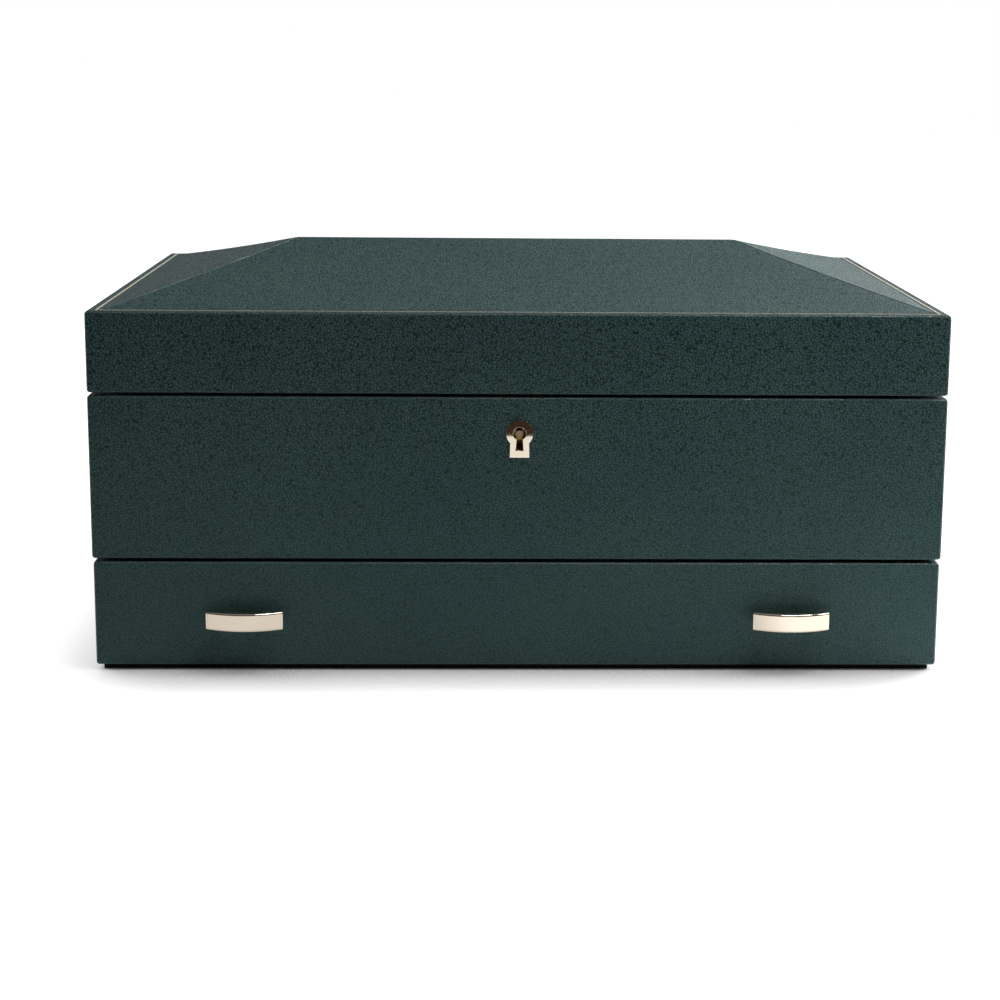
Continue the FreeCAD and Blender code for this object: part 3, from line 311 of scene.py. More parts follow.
clear = node(tree, "MapRange", {"Value": depth.outputs[0], "To Min": 0.40, "To Max": 0.05})
polished = node(tree, "Math", {0: turned.outputs["Result"], 1: 0.6,
                               2: clear.outputs["Result"]}, operation="MULTIPLY_ADD")
tree.links.new(polished.outputs[0], shader.inputs["Specular IOR Level"])
fine = node(tree, "TexNoise", {"Vector": place, "Scale": 1 / (FINE_GRAIN_MM * MM),
                               "Detail": 2.0})
height = node(tree, "Math", {0: fine.outputs["Fac"], 1: 0.25, 2: depth.outputs[0]},
              operation="MULTIPLY_ADD")
relief = node(tree, "Bump", {"Height": height.outputs[0], "Strength": 1.0,
                             "Distance": RELIEF_MM * MM}, invert=True)
tree.links.new(relief.outputs["Normal"], shader.inputs["Normal"])
shader.inputs["IOR"].default_value = 1.45
finishes["leather"] = leather
print("leather: creases", RELIEF_MM, "mm deep, dye in patches of", DYE_PATCH_MM, "mm")

# %% [markdown]
# ### Suede
#
# Suede is the flesh side of the skin, brushed to a short nap. It has no gloss, its colour
# shifts where the nap has been stroked the other way, and it glows a little at its edges,
# which is what the sheen of the shader is for. The camel colour is a guess, because the
# lid and the drawer are shut in the photograph.

# %% Suede of the linings and of the cushions
NAP_MM = 0.45


def suede(name, light, dark, stroke_mm):
    """Brushed suede in two close shades, with strokes of a size."""
    material, tree, shader, place = finish(name)
    strokes = node(tree, "TexNoise", {"Vector": place, "Scale": 1 / (stroke_mm * MM),
                                      "Detail": 4.0, "Distortion": 0.6})
    nap = node(tree, "TexNoise", {"Vector": place, "Scale": 1 / (NAP_MM * MM), "Detail": 3.0})
    tone = node(tree, "ValToRGB", {"Fac": strokes.outputs["Fac"]})
    tone.color_ramp.elements[0].position = 0.32
    tone.color_ramp.elements[0].color = seen(dark)
    tone.color_ramp.elements[1].position = 0.68
    tone.color_ramp.elements[1].color = seen(light)
    hairs = node(tree, "MixRGB", {0: 0.3, 1: tone.outputs["Color"], 2: nap.outputs["Fac"]},
                 blend_type="OVERLAY")
    tree.links.new(hairs.outputs[0], shader.inputs["Base Color"])
    rough = node(tree, "MapRange", {"Value": nap.outputs["Fac"], "To Min": 0.82, "To Max": 0.98})
    tree.links.new(rough.outputs["Result"], shader.inputs["Roughness"])
    relief = node(tree, "Bump", {"Height": nap.outputs["Fac"], "Strength": 0.35,
                                 "Distance": 0.2 * MM})
    tree.links.new(relief.outputs["Normal"], shader.inputs["Normal"])
    shader.inputs["Sheen Weight"].default_value = 0.35
    shader.inputs["Sheen Roughness"].default_value = 0.4
    return material


finishes["suede"] = suede("lining_suede", "#b8946a", "#a58158", 26)
finishes["cushion_suede"] = suede("cushion_suede", "#c6a47c", "#b39067", 34)
print("suede: lining and cushions, nap", NAP_MM, "mm")

# %% [markdown]
# ### Boards
#
# The boards under the leather are fibreboard of pressed wood, sanded flat. It has no grain
# lines, only fine fibres that all lie one way, and it shows only where nothing covers it.

# %% Fibreboard
FIBRE_LONG_MM, FIBRE_WIDE_MM = 9, 0.9

board, tree, shader, place = finish("sanded_fibreboard")
stretch = node(tree, "Mapping", {"Vector": place, "Scale": [
    1 / (FIBRE_LONG_MM * MM), 1 / (FIBRE_WIDE_MM * MM), 1 / (FIBRE_WIDE_MM * MM)]})
fibres = node(tree, "TexNoise", {"Vector": stretch.outputs["Vector"], "Scale": 1.0,
                                 "Detail": 5.0})
tone = node(tree, "ValToRGB", {"Fac": fibres.outputs["Fac"]})
tone.color_ramp.elements[0].position = 0.3
tone.color_ramp.elements[0].color = seen("#7d6142")
tone.color_ramp.elements[1].position = 0.7
tone.color_ramp.elements[1].color = seen("#a3845d")
tree.links.new(tone.outputs["Color"], shader.inputs["Base Color"])
rough = node(tree, "MapRange", {"Value": fibres.outputs["Fac"], "To Min": 0.65,
                                "To Max": 0.85})
tree.links.new(rough.outputs["Result"], shader.inputs["Roughness"])
relief = node(tree, "Bump", {"Height": fibres.outputs["Fac"], "Strength": 0.3,
                             "Distance": 0.1 * MM})
tree.links.new(relief.outputs["Normal"], shader.inputs["Normal"])
finishes["board"] = board
print("fibreboard: fibres", FIBRE_LONG_MM, "by", FIBRE_WIDE_MM, "mm")

# %% [markdown]
# ### Metals
#
# The pulls and the keyhole plate are cast, ground and buffed, and then plated a pale gold:
# a mirror with very fine wiping marks. The lock and the hinges are rolled brass, brushed
# along their length. The pins and springs are drawn steel, a warm grey as on the pin in the
# keyhole. All three are the same recipe with other colours, other roughness and another
# width of scratch.

# %% Metals
CLOUD_MM = 9


def metal(name, bright, dull, smooth, rough, scratch_mm, depth, along=(1.0, 1.0, 1.0)):
    """A metal with fine scratches that run along the axis with the smallest number."""
    material, tree, shader, place = finish(name)
    stretch = node(tree, "Mapping", {"Vector": place,
                                     "Scale": [a / (scratch_mm * MM) for a in along]})
    scratches = node(tree, "TexNoise", {"Vector": stretch.outputs["Vector"], "Scale": 1.0,
                                        "Detail": 4.0})
    clouds = node(tree, "TexNoise", {"Vector": place, "Scale": 1 / (CLOUD_MM * MM),
                                     "Detail": 3.0})
    tone = node(tree, "MixRGB", {0: clouds.outputs["Fac"], 1: seen(dull), 2: seen(bright)})
    tree.links.new(tone.outputs[0], shader.inputs["Base Color"])
    worn = node(tree, "MapRange", {"Value": scratches.outputs["Fac"], "From Min": 0.3,
                                   "From Max": 0.7, "To Min": smooth, "To Max": rough})
    tree.links.new(worn.outputs["Result"], shader.inputs["Roughness"])
    relief = node(tree, "Bump", {"Height": scratches.outputs["Fac"], "Strength": 0.2,
                                 "Distance": depth * MM})
    tree.links.new(relief.outputs["Normal"], shader.inputs["Normal"])
    shader.inputs["Metallic"].default_value = 1.0
    return material


finishes["pale_gold_plate"] = metal("buffed_pale_gold_plate", "#f0e4d2", "#ebdecb",
                                    0.012, 0.03, 0.7, 0.0002)
finishes["brass"] = metal("brushed_rolled_brass", "#d9b36a", "#c79f57", 0.22, 0.36, 0.5, 0.02,
                          along=(0.05, 1.0, 1.0))
finishes["steel"] = metal("brushed_drawn_steel", "#a39689", "#8a7d70", 0.24, 0.40, 0.4, 0.01,
                          along=(0.1, 1.0, 1.0))
print("metals: plate, brass, steel")

# %% [markdown]
# ### Gold foil, felt and nylon
#
# The line on the rim is gold leaf pressed into the skin with a hot wheel. It follows the
# grain, so it is broken by tiny gaps. The base is black wool felt, and the strips that the
# drawer runs on are smooth pale nylon with a faint drawn grain.

# %% Foil
GAP_MM = 0.8

foil, tree, shader, place = finish("pressed_gold_foil")
breaks = node(tree, "TexNoise", {"Vector": place, "Scale": 1 / (GAP_MM * MM), "Detail": 3.0})
whole = node(tree, "MapRange", {"Value": breaks.outputs["Fac"], "From Min": 0.34,
                                "From Max": 0.44})
colour = node(tree, "MixRGB", {0: whole.outputs["Result"], 1: seen("#3a4336"),
                               2: seen("#e2d8c2")})
tree.links.new(colour.outputs[0], shader.inputs["Base Color"])
shine = node(tree, "MapRange", {"Value": whole.outputs["Result"], "To Min": 0.05,
                                "To Max": 0.35})
tree.links.new(shine.outputs["Result"], shader.inputs["Metallic"])
rough = node(tree, "MapRange", {"Value": breaks.outputs["Fac"], "To Min": 0.55, "To Max": 0.3})
tree.links.new(rough.outputs["Result"], shader.inputs["Roughness"])
relief = node(tree, "Bump", {"Height": breaks.outputs["Fac"], "Strength": 0.4,
                             "Distance": 0.05 * MM})
tree.links.new(relief.outputs["Normal"], shader.inputs["Normal"])
finishes["gold_line"] = foil
print("foil: gaps about", GAP_MM, "mm apart")

# %% Felt and nylon
WOOL_MM = 0.6
DRAWN_WIDE_MM, DRAWN_LONG_MM = 0.5, 14

felt, tree, shader, place = finish("black_wool_felt")
fibres = node(tree, "TexNoise", {"Vector": place, "Scale": 1 / (WOOL_MM * MM), "Detail": 5.0})
colour = node(tree, "MixRGB", {0: fibres.outputs["Fac"], 1: seen("#08090a"),
                               2: seen("#1c1d1f")})
tree.links.new(colour.outputs[0], shader.inputs["Base Color"])
relief = node(tree, "Bump", {"Height": fibres.outputs["Fac"], "Strength": 0.6,
                             "Distance": 0.3 * MM})
tree.links.new(relief.outputs["Normal"], shader.inputs["Normal"])
shader.inputs["Roughness"].default_value = 0.95
finishes["base_felt"] = felt

nylon, tree, shader, place = finish("drawn_nylon_strip")
stretch = node(tree, "Mapping", {"Vector": place, "Scale": [
    1 / (DRAWN_WIDE_MM * MM), 1 / (DRAWN_LONG_MM * MM), 1 / (DRAWN_WIDE_MM * MM)]})
drawn = node(tree, "TexNoise", {"Vector": stretch.outputs["Vector"], "Scale": 1.0,
                                "Detail": 3.0})
colour = node(tree, "MixRGB", {0: drawn.outputs["Fac"], 1: seen("#cfc9bb"),
                               2: seen("#e2dccf")})
tree.links.new(colour.outputs[0], shader.inputs["Base Color"])
rough = node(tree, "MapRange", {"Value": drawn.outputs["Fac"], "To Min": 0.3, "To Max": 0.5})
tree.links.new(rough.outputs["Result"], shader.inputs["Roughness"])
shader.inputs["IOR"].default_value = 1.53
finishes["glide"] = nylon
print(len(finishes), "finishes:", ", ".join(sorted(finishes)))

# %% [markdown]
# ## Painting the frame
#
# A piece of the frame whose shape is right stays as it is and only gets its finish. Each one
# knows its finish from the record, so a loop gives it out.

# %% Finishes for the pieces of the frame
for name, piece in cad.items():
    if not piece.material_slots:
        piece.data.materials.append(None)
    for holder in piece.material_slots:
        holder.material = finishes[slot_of[name]]
print("painted", len(cad), "pieces")


def dress(piece, body, *nodes):
    """Give a new piece its finish, let it ride on a body and stand for pieces of the frame.

    Flat faces next to a rounding are shaded flat by weighing the normals by area.
    """
    slot = slot_of[nodes[0]]
    finish_with(piece, "WEIGHTED_NORMAL", keep_sharp=True)
    piece.data.materials.clear()
    piece.data.materials.append(finishes[slot])
    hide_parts(*nodes)
    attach(piece, body)
    print(piece.name, len(piece.data.polygons), "faces, rides on", body)
    return piece


# %% [markdown]
# ## The leather covers
#
# Leather goes round a board's edge in a soft turn. A cover is made here as a solid with the
# outer shape, its edges are rounded, and then the boards' own space is cut out of it, which
# leaves a skin. Rounding before cutting keeps the rounding on the outside only.

# %% Sizes of the covers
SIDE_X, FRONT_Y, BACK_Y = 190.0, -137.5, 137.5
LEATHER = 1.2
BOARD_X, BOARD_FRONT_Y, BOARD_BACK_Y = SIDE_X - LEATHER, FRONT_Y + LEATHER, BACK_Y - LEATHER
INNER_X, INNER_FRONT_Y, INNER_BACK_Y = 180.8, -125.3, 128.3
RECESS_Y = -125.1
PAD_Z, BAND_Z, CASE_TOP_Z = 2.5, 51.4, 124.75
LID_LOW_Z, RIM_Z, RIDGE_Z = 125.95, 161.8, 183.0
EAVES_X, EAVES_Y, RIDGE_X = 184.5, 132.0, 108.0
EDGE_ROUND = 1.4
SPARE, HAIR = 1.0, 0.01
print("box", 2 * SIDE_X, "by", BACK_Y - FRONT_Y, "by", RIDGE_Z, "mm")

# %% Room for the lock, the key and the hinges
LOCK_X, LOCK_FRONT_Y = 26, -132.3
KEYHOLE_Z, KEY_ROUND = 108.7, 5.7
KEY_SLOT_LONG, KEY_SLOT_TOP, KEY_SLOT_FOOT = 7.6, 2.2, 3.4
HINGE_XS = (-120.0, 120.0)
LEAF_X, LEAF_FRONT_Y, LEAF_LOW_Z, LEAF_HIGH_Z = 19.2, 129.3, 123.9, 126.8


def keyhole(name, front, back):
    """The opening for the key as a solid to cut with: a round and a slot that flares."""
    middle_y = (front + back) / 2
    round_part = bar(name, (0, middle_y, KEYHOLE_Z), KEY_ROUND, back - front, along="Y",
                     sides=96)
    slot = block(name + "_slot", (-KEY_SLOT_TOP / 2, front, KEYHOLE_Z - KEY_SLOT_LONG),
                 (KEY_SLOT_TOP / 2, back, KEYHOLE_Z))
    pick(slot, "FACE", lambda middle, normal: normal.z < -0.9)
    bpy.ops.transform.resize(value=(KEY_SLOT_FOOT / KEY_SLOT_TOP, 1, 1))
    done()
    return carve(round_part, slot, operation="UNION")


def lock_room(name, low, high):
    """Room in the leather for the top plate of the lock or for the strike plate."""
    return block(name, (-LOCK_X, LOCK_FRONT_Y, low), (LOCK_X, INNER_FRONT_Y + SPARE, high))


def hinge_room(side, x, low, high):
    """Room in the leather for one leaf of a hinge."""
    return block(f"hinge_room_{side}", (x - LEAF_X, LEAF_FRONT_Y, low),
                 (x + LEAF_X, BACK_Y + SPARE, high))


# %% Cover of the case
case_cover = block("case_cover", (-SIDE_X, RECESS_Y, PAD_Z), (SIDE_X, BACK_Y, CASE_TOP_Z))
pick(case_cover, "FACE", lambda middle, normal: True)
bpy.ops.mesh.bisect(plane_co=(0, 0, BAND_Z * MM), plane_no=(0, 0, 1))
pick(case_cover, "FACE", lambda middle, normal: normal.y < -0.9 and middle.z > BAND_Z)
bpy.ops.mesh.extrude_region_move(
    TRANSFORM_OT_translate={"value": (0, (FRONT_Y - RECESS_Y) * MM, 0)})
done()
soften(case_cover, EDGE_ROUND)
carve(case_cover,
      block("boards", (-BOARD_X, RECESS_Y - SPARE, PAD_Z - SPARE),
            (BOARD_X, BOARD_BACK_Y, BAND_Z + LEATHER)),
      block("upper_boards", (-BOARD_X, BOARD_FRONT_Y, BAND_Z + LEATHER - HAIR),
            (BOARD_X, BOARD_BACK_Y, CASE_TOP_Z - LEATHER)),
      block("mouth", (-INNER_X, INNER_FRONT_Y, CASE_TOP_Z - 2 * LEATHER),
            (INNER_X, INNER_BACK_Y, CASE_TOP_Z + SPARE)),
      lock_room("lock_plate_room", CASE_TOP_Z - 2 * LEATHER, CASE_TOP_Z + SPARE),
      keyhole("key_room", FRONT_Y - SPARE, BOARD_FRONT_Y + SPARE),
      hinge_room("left", HINGE_XS[0], LEAF_LOW_Z, CASE_TOP_Z + SPARE),
      hinge_room("right", HINGE_XS[1], LEAF_LOW_Z, CASE_TOP_Z + SPARE))
dress(case_cover, "case", "case_leather")

# %% Skirt of the lid
lid_skirt = block("lid_skirt", (-SIDE_X, FRONT_Y, LID_LOW_Z), (SIDE_X, BACK_Y, RIM_Z))
soften(lid_skirt, EDGE_ROUND)
carve(lid_skirt,
      block("lid_boards", (-BOARD_X, BOARD_FRONT_Y, LID_LOW_Z + LEATHER),
            (BOARD_X, BOARD_BACK_Y, RIM_Z - LEATHER)),
      block("lid_mouth", (-INNER_X, INNER_FRONT_Y, LID_LOW_Z - SPARE),
            (INNER_X, INNER_BACK_Y, LID_LOW_Z + 2 * LEATHER)),
      block("roof_room", (-EAVES_X, -EAVES_Y, RIM_Z - 2 * LEATHER),
            (EAVES_X, EAVES_Y, RIM_Z + SPARE)),
      lock_room("strike_room", LID_LOW_Z - SPARE, LID_LOW_Z + 2 * LEATHER),
      hinge_room("left", HINGE_XS[0], LID_LOW_Z - SPARE, LEAF_HIGH_Z),
      hinge_room("right", HINGE_XS[1], LID_LOW_Z - SPARE, LEAF_HIGH_Z))
dress(lid_skirt, "lid", "lid_leather_skirt")

# %% Cover of the drawer front
DRAWER_X, DRAWER_BOARD_X, DRAWER_BACK_Y, DRAWER_TOP_Z = 189.5, 188.3, -125.5, 50.1
drawer_cover = block("drawer_cover", (-DRAWER_X, FRONT_Y, PAD_Z),
                     (DRAWER_X, DRAWER_BACK_Y, DRAWER_TOP_Z))
soften(drawer_cover, EDGE_ROUND)
carve(drawer_cover, block("front_board", (-DRAWER_BOARD_X, BOARD_FRONT_Y, PAD_Z + LEATHER),
                          (DRAWER_BOARD_X, DRAWER_BACK_Y + SPARE, DRAWER_TOP_Z - LEATHER)))
dress(drawer_cover, "drawer", "drawer_front_leather")

# %% [markdown]
# ## The roof of the lid
#
# Four panels of leather are glued to a shaped core and meet at the hips and the ridge. Each
# one starts as a thin slab whose upper end is drawn in and lifted. The hips on the real box
# sag a little between their ends, so the panels are cut across in strips and lowered by a
# shallow curve, which all four share so that their seams still meet. The panels keep a
# hair's breadth apart, and with their rounded edges that draws each seam as a fine dark line.

# %% Bending a panel
ROOF_RISE = RIDGE_Z - RIM_Z
RIDGE_SEAM, HIP_SEAM_X, HIP_SEAM_Y, RIDGE_INSET = 0.3, 0.3, 0.53, 0.08
SAG, STRIPS, PANEL_ROUND = 0.65, 16, 0.6


def sag(piece):
    """Lower a panel by a shallow curve between the eaves and the ridge."""
    for corner in piece.data.vertices:
        share = (corner.co.z / MM - RIM_Z) / ROOF_RISE
        if 0 < share < 1:
            corner.co.z -= SAG * 4 * share * (1 - share) * MM


def panel(name, low, high, upper, squeeze, move):
    """A slab whose upper end is squeezed to the ridge and lifted, in strips, and sagged."""
    piece = block(name, low, high)
    pick(piece, "FACE", upper)
    bpy.ops.transform.resize(value=squeeze)
    bpy.ops.transform.translate(value=Vector(move) * MM)
    for strip in range(1, STRIPS):
        level = RIM_Z + ROOF_RISE * strip / STRIPS
        bpy.ops.mesh.select_all(action="SELECT")
        bpy.ops.mesh.bisect(plane_co=(0, 0, level * MM), plane_no=(0, 0, 1))
    done()
    sag(piece)
    soften(piece, PANEL_ROUND, segments=3)
    return piece


# %% The four panels
for side, sign in (("front", -1), ("back", 1)):
    low_y, high_y = sorted((sign * EAVES_Y, sign * RIDGE_SEAM / 2))
    made = panel(f"roof_panel_{side}", (-EAVES_X + HIP_SEAM_X, low_y, RIM_Z - LEATHER),
                 (EAVES_X - HIP_SEAM_X, high_y, RIM_Z),
                 lambda middle, normal: normal.y * -sign > 0.9,
                 ((RIDGE_X - RIDGE_INSET) / (EAVES_X - HIP_SEAM_X), 1, 1), (0, 0, ROOF_RISE))
    dress(made, "lid", f"lid_panel_{side}")
for side, sign in (("left", -1), ("right", 1)):
    low_x, high_x = sorted((sign * EAVES_X, sign * (RIDGE_X + HIP_SEAM_X)))
    made = panel(f"roof_panel_{side}", (low_x, -EAVES_Y + HIP_SEAM_Y, RIM_Z - LEATHER),
                 (high_x, EAVES_Y - HIP_SEAM_Y, RIM_Z),
                 lambda middle, normal: normal.x * -sign > 0.9,
                 (1, 0.001, 1), (0, 0, ROOF_RISE))
    dress(made, "lid", f"lid_panel_{side}")

# %% [markdown]
# ## Keyhole plate and pulls
#
# Both are small castings with soft, buffed edges. The plate is a disc and a foot made one,
# with its edge rounded before the keyhole is cut, so that the keyhole stays crisp. A pull
# is the part of a flat bar that lies inside a wide cylinder, which gives the bowed front.
# That front is so finely faceted that the bevel would stop short at its first facet, so a
# pull is rounded without the limit that keeps a bevel from overlapping.

# %% Keyhole plate
PLATE_ROUND, PLATE_THICK, PLATE_LOW_Z = 11.9, 1.2, 97.95
PLATE_FOOT_TOP, PLATE_FOOT_LOW = 8.1, 8.7
PLATE_EDGE, KEYHOLE_EDGE = 0.35, 0.12
disc = bar("keyhole_plate", (0, FRONT_Y - PLATE_THICK / 2, KEYHOLE_Z), PLATE_ROUND,
           PLATE_THICK, along="Y", sides=128)
foot = block("plate_foot", (-PLATE_FOOT_TOP / 2, FRONT_Y - PLATE_THICK, PLATE_LOW_Z),
             (PLATE_FOOT_TOP / 2, FRONT_Y, KEYHOLE_Z))
pick(foot, "FACE", lambda middle, normal: normal.z < -0.9)
bpy.ops.transform.resize(value=(PLATE_FOOT_LOW / PLATE_FOOT_TOP, 1, 1))
done()
keyhole_plate = carve(disc, foot, operation="UNION")
soften(keyhole_plate, PLATE_EDGE, segments=4, angle=35)
carve(keyhole_plate, keyhole("key_opening", FRONT_Y - 3 * SPARE, FRONT_Y + SPARE))
soften(keyhole_plate, KEYHOLE_EDGE, segments=2, angle=50)
dress(keyhole_plate, "case", "escutcheon")

# %% Pulls
PULL_Z, PULL_BACK_Y, PULL_FRONT_Y = 25.0, -142.5, -150.0
PULL_WIDTH, PULL_HEIGHT, PULL_RADIUS, PULL_EDGE = 34.1, 8.4, 34.55, 1.0
POST_ROUND, POST_X = 5.6, 10


def pull(name, x):
    """A bowed bar on two round posts."""
    piece = block(name, (x - PULL_WIDTH / 2, PULL_FRONT_Y, PULL_Z - PULL_HEIGHT / 2),
                  (x + PULL_WIDTH / 2, PULL_BACK_Y, PULL_Z + PULL_HEIGHT / 2))
    carve(piece, bar("bow", (x, PULL_FRONT_Y + PULL_RADIUS, PULL_Z), 2 * PULL_RADIUS,
                     PULL_HEIGHT + 2 * SPARE, sides=256), operation="INTERSECT")
    soften(piece, PULL_EDGE, segments=6, angle=50, clamp=False)
    posts = [bar(f"post_{step}", (x + step * POST_X, (PULL_BACK_Y + FRONT_Y) / 2, PULL_Z),
                 POST_ROUND, FRONT_Y - PULL_BACK_Y, along="Y") for step in (-1, 1)]
    carve(piece, *posts, operation="UNION")
    bpy.ops.object.shade_smooth_by_angle(angle=math.radians(35))
    return piece


for side, x in (("left", -122.0), ("right", 122.0)):
    dress(pull(f"pull_{side}", x), "drawer", f"drawer_pull_{side}")

# %% [markdown]
# ## Dividers
#
# A divider is a thin board wrapped in suede, so its top is rounded. The row dividers are
# notched from above and the column dividers from below, and so they lock into each other.
# The notches are cut after the rounding, as a saw would do it.

# %% Sizes of the watch compartment
LINED_X, LINED_FRONT_Y, LINED_BACK_Y = 179.6, -124.1, 127.1
FLOOR_Z, DIVIDER_TOP_Z, CUSHION_TOP_Z = 59.8, 109.75, 100.75
COLUMNS, ROWS, DIVIDER = 5, 3, 4.0
SLOT_WIDTH = (2 * LINED_X - (COLUMNS - 1) * DIVIDER) / COLUMNS
SLOT_DEPTH = (LINED_BACK_Y - LINED_FRONT_Y - (ROWS - 1) * DIVIDER) / ROWS
LAP_Z = (FLOOR_Z + DIVIDER_TOP_Z) / 2
LAP_FIT = 0.05
WRAP_ROUND = 1.7
column_xs = [-LINED_X + i * (SLOT_WIDTH + DIVIDER) for i in range(COLUMNS)]
row_ys = [LINED_FRONT_Y + j * (SLOT_DEPTH + DIVIDER) for j in range(ROWS)]
print("slots of", round(SLOT_WIDTH, 1), "by", round(SLOT_DEPTH, 1), "mm")


def divider(name, low, high):
    """A board whose two long top edges are rounded."""
    piece = block(name, low, high)
    longest = max(range(2), key=lambda axis: high[axis] - low[axis])
    pick(piece, "EDGE",
         lambda middle, along: middle.z > high[2] - HAIR and abs(along[longest]) > 0.9)
    bpy.ops.mesh.bevel(offset=WRAP_ROUND * MM, segments=5, affect="EDGES")
    done()
    bpy.ops.object.shade_smooth_by_angle(angle=math.radians(30))
    return piece


# %% Row and column dividers
for name, y in zip(("front", "rear"), row_ys[1:]):
    wall = divider(f"row_wall_{name}", (-LINED_X, y - DIVIDER, FLOOR_Z),
                   (LINED_X, y, DIVIDER_TOP_Z))
    carve(wall, *[block(f"notch_{i}", (x - DIVIDER - LAP_FIT, y - DIVIDER - SPARE, LAP_Z),
                        (x + LAP_FIT, y + SPARE, DIVIDER_TOP_Z + SPARE))
                  for i, x in enumerate(column_xs[1:])])
    dress(wall, "case", f"row_divider_{name}")
for number, x in enumerate(column_xs[1:], start=1):
    wall = divider(f"column_wall_{number}", (x - DIVIDER, LINED_FRONT_Y, FLOOR_Z),
                   (x, LINED_BACK_Y, DIVIDER_TOP_Z))
    carve(wall, *[block(f"notch_{j}", (x - DIVIDER - SPARE, y - DIVIDER - LAP_FIT,
                                       FLOOR_Z - SPARE), (x + SPARE, y + LAP_FIT, LAP_Z))
                  for j, y in enumerate(row_ys[1:])])
    dress(wall, "case", f"column_divider_{number}")

# %% [markdown]
# The drawer has the same walls, only lower: one beside the ring rolls, one between the two
# columns of trays, and a short one across each of these columns.

# %% Dividers of the drawer
TRAY_X, TRAY_FRONT_Y, TRAY_BACK_Y, TRAY_Z, TRAY_TOP_Z = 171.6, -124.3, 106.3, 15.0, 43.8
RING_WALL_X, MIDDLE_WALL_X = (-59.6, -55.6), (56.4, 60.4)
CROSS_WALL_Y = (-11.0, -7.0)
walls = [divider("tray_walls", (low_x, low_y, TRAY_Z), (high_x, high_y, TRAY_TOP_Z))
         for (low_x, high_x), (low_y, high_y) in (
             (RING_WALL_X, (TRAY_FRONT_Y, TRAY_BACK_Y)),
             (MIDDLE_WALL_X, (TRAY_FRONT_Y, TRAY_BACK_Y)),
             ((RING_WALL_X[1], MIDDLE_WALL_X[0]), CROSS_WALL_Y),
             ((MIDDLE_WALL_X[1], TRAY_X), CROSS_WALL_Y))]
dress(stick("tray_walls", *walls), "drawer", "drawer_dividers")

# %% [markdown]
# ## Padding
#
# A watch cushion is a block of foam in a suede cover that is sewn a little too tight. The
# foam swells between the seams, so the faces are crowned and the corners draw in. That is
# what a cloth under pressure does, and so the cover is simulated: it starts a little smaller
# than its place, is remeshed to even squares, and is blown up for twenty steps. How far a
# point may move is capped, and nothing leaves the space of the cushion's solid.

# %% Blowing up a cover
PRESSURE = 4.0
STEPS = 20


def swell(piece, square, cap):
    """Remesh a piece to squares, let it swell by a cap at most and make its mesh finer."""
    finish_with(piece, "REMESH", mode="VOXEL", voxel_size=square * MM)
    starts = [corner.co.copy() for corner in piece.data.vertices]
    cloth = piece.modifiers.new("Cloth", "CLOTH")
    cloth.settings.use_pressure = True
    cloth.settings.uniform_pressure_force = PRESSURE
    cloth.settings.effector_weights.gravity = 0
    for step in range(1, STEPS + 1):
        scene.frame_set(step)
    only(piece)
    bpy.ops.object.modifier_apply(modifier=cloth.name)
    scene.frame_set(1)
    moves = []
    for corner, start in zip(piece.data.vertices, starts):
        move = corner.co - start
        moves.append(move.length / MM)
        if move.length > cap * MM:
            corner.co = start + move * (cap * MM / move.length)
    print(piece.name, "wanted to move up to", round(max(moves), 1), "mm")
    finish_with(piece, "SUBSURF", levels=1, render_levels=1)
    bpy.ops.object.shade_smooth()
    return piece


def keep_inside(piece, low, high):
    """Flatten a soft piece where it meets the sides of its own space."""
    for corner in piece.data.vertices:
        for axis in range(3):
            corner.co[axis] = min(max(corner.co[axis], low[axis] * MM), high[axis] * MM)


def sewn(piece, axis, places, width, depth):
    """Draw a piece in along seams that run round it, at places along one axis."""
    corners = piece.data.vertices
    middle = sum((corner.co for corner in corners), Vector()) / len(corners)
    for corner in corners:
        apart = min(abs(corner.co[axis] / MM - place) for place in places)
        if apart < width:
            inward = middle - corner.co
            inward[axis] = 0
            share = (1 + math.cos(math.pi * apart / width)) / 2
            corner.co += inward.normalized() * depth * share * MM


# %% [markdown]
# One cushion is made in the first slot and copied to the other fourteen. Its two end panels
# are sewn in, which draws a shallow line round each end.

# %% Watch cushions
CUSHION_GAP, CUSHION_SHY, CUSHION_UP = 0.6, 1.8, 0.5
CUSHION_ROUND, CUSHION_END_ROUND = 12.5, 3.0
CUSHION_SQUARE, CUSHION_CAP = 4.0, 5.0
SEWN_IN, SEWN_WIDTH, SEWN_DEPTH = 5.5, 2.4, 0.9
low = (column_xs[0] + CUSHION_GAP, row_ys[0] + CUSHION_GAP, FLOOR_Z)
high = (column_xs[0] + SLOT_WIDTH - CUSHION_GAP, row_ys[0] + SLOT_DEPTH - CUSHION_GAP,
        CUSHION_TOP_Z)
cushion = block("watch_cushion", [c + CUSHION_SHY for c in low[:2]] + [FLOOR_Z + CUSHION_UP],
                [c - CUSHION_SHY for c in high])
pick(cushion, "EDGE", lambda middle, along: abs(along.x) > 0.9)
bpy.ops.mesh.bevel(offset=CUSHION_ROUND * MM, segments=6, affect="EDGES")
done()
soften(cushion, CUSHION_END_ROUND, segments=3, angle=50)
swell(cushion, CUSHION_SQUARE, CUSHION_CAP)
keep_inside(cushion, low, high)
sewn(cushion, 0, (low[0] + SEWN_IN, high[0] - SEWN_IN), SEWN_WIDTH, SEWN_DEPTH)
for j, row in enumerate(("front", "middle", "rear")):
    for i, x in enumerate(column_xs):
        made = twin(cushion, f"watch_cushion_{row}_{i + 1}",
                    (x - column_xs[0], row_ys[j] - row_ys[0], 0))
        dress(made, "case", f"watch_cushions_{row}_row")
bpy.data.objects.remove(cushion)

# %% [markdown]
# The ring rolls lie side by side at the left of the drawer, and a ring is pushed between two
# of them. Each is a sausage of foam with a flat foot, blown up in the same way.

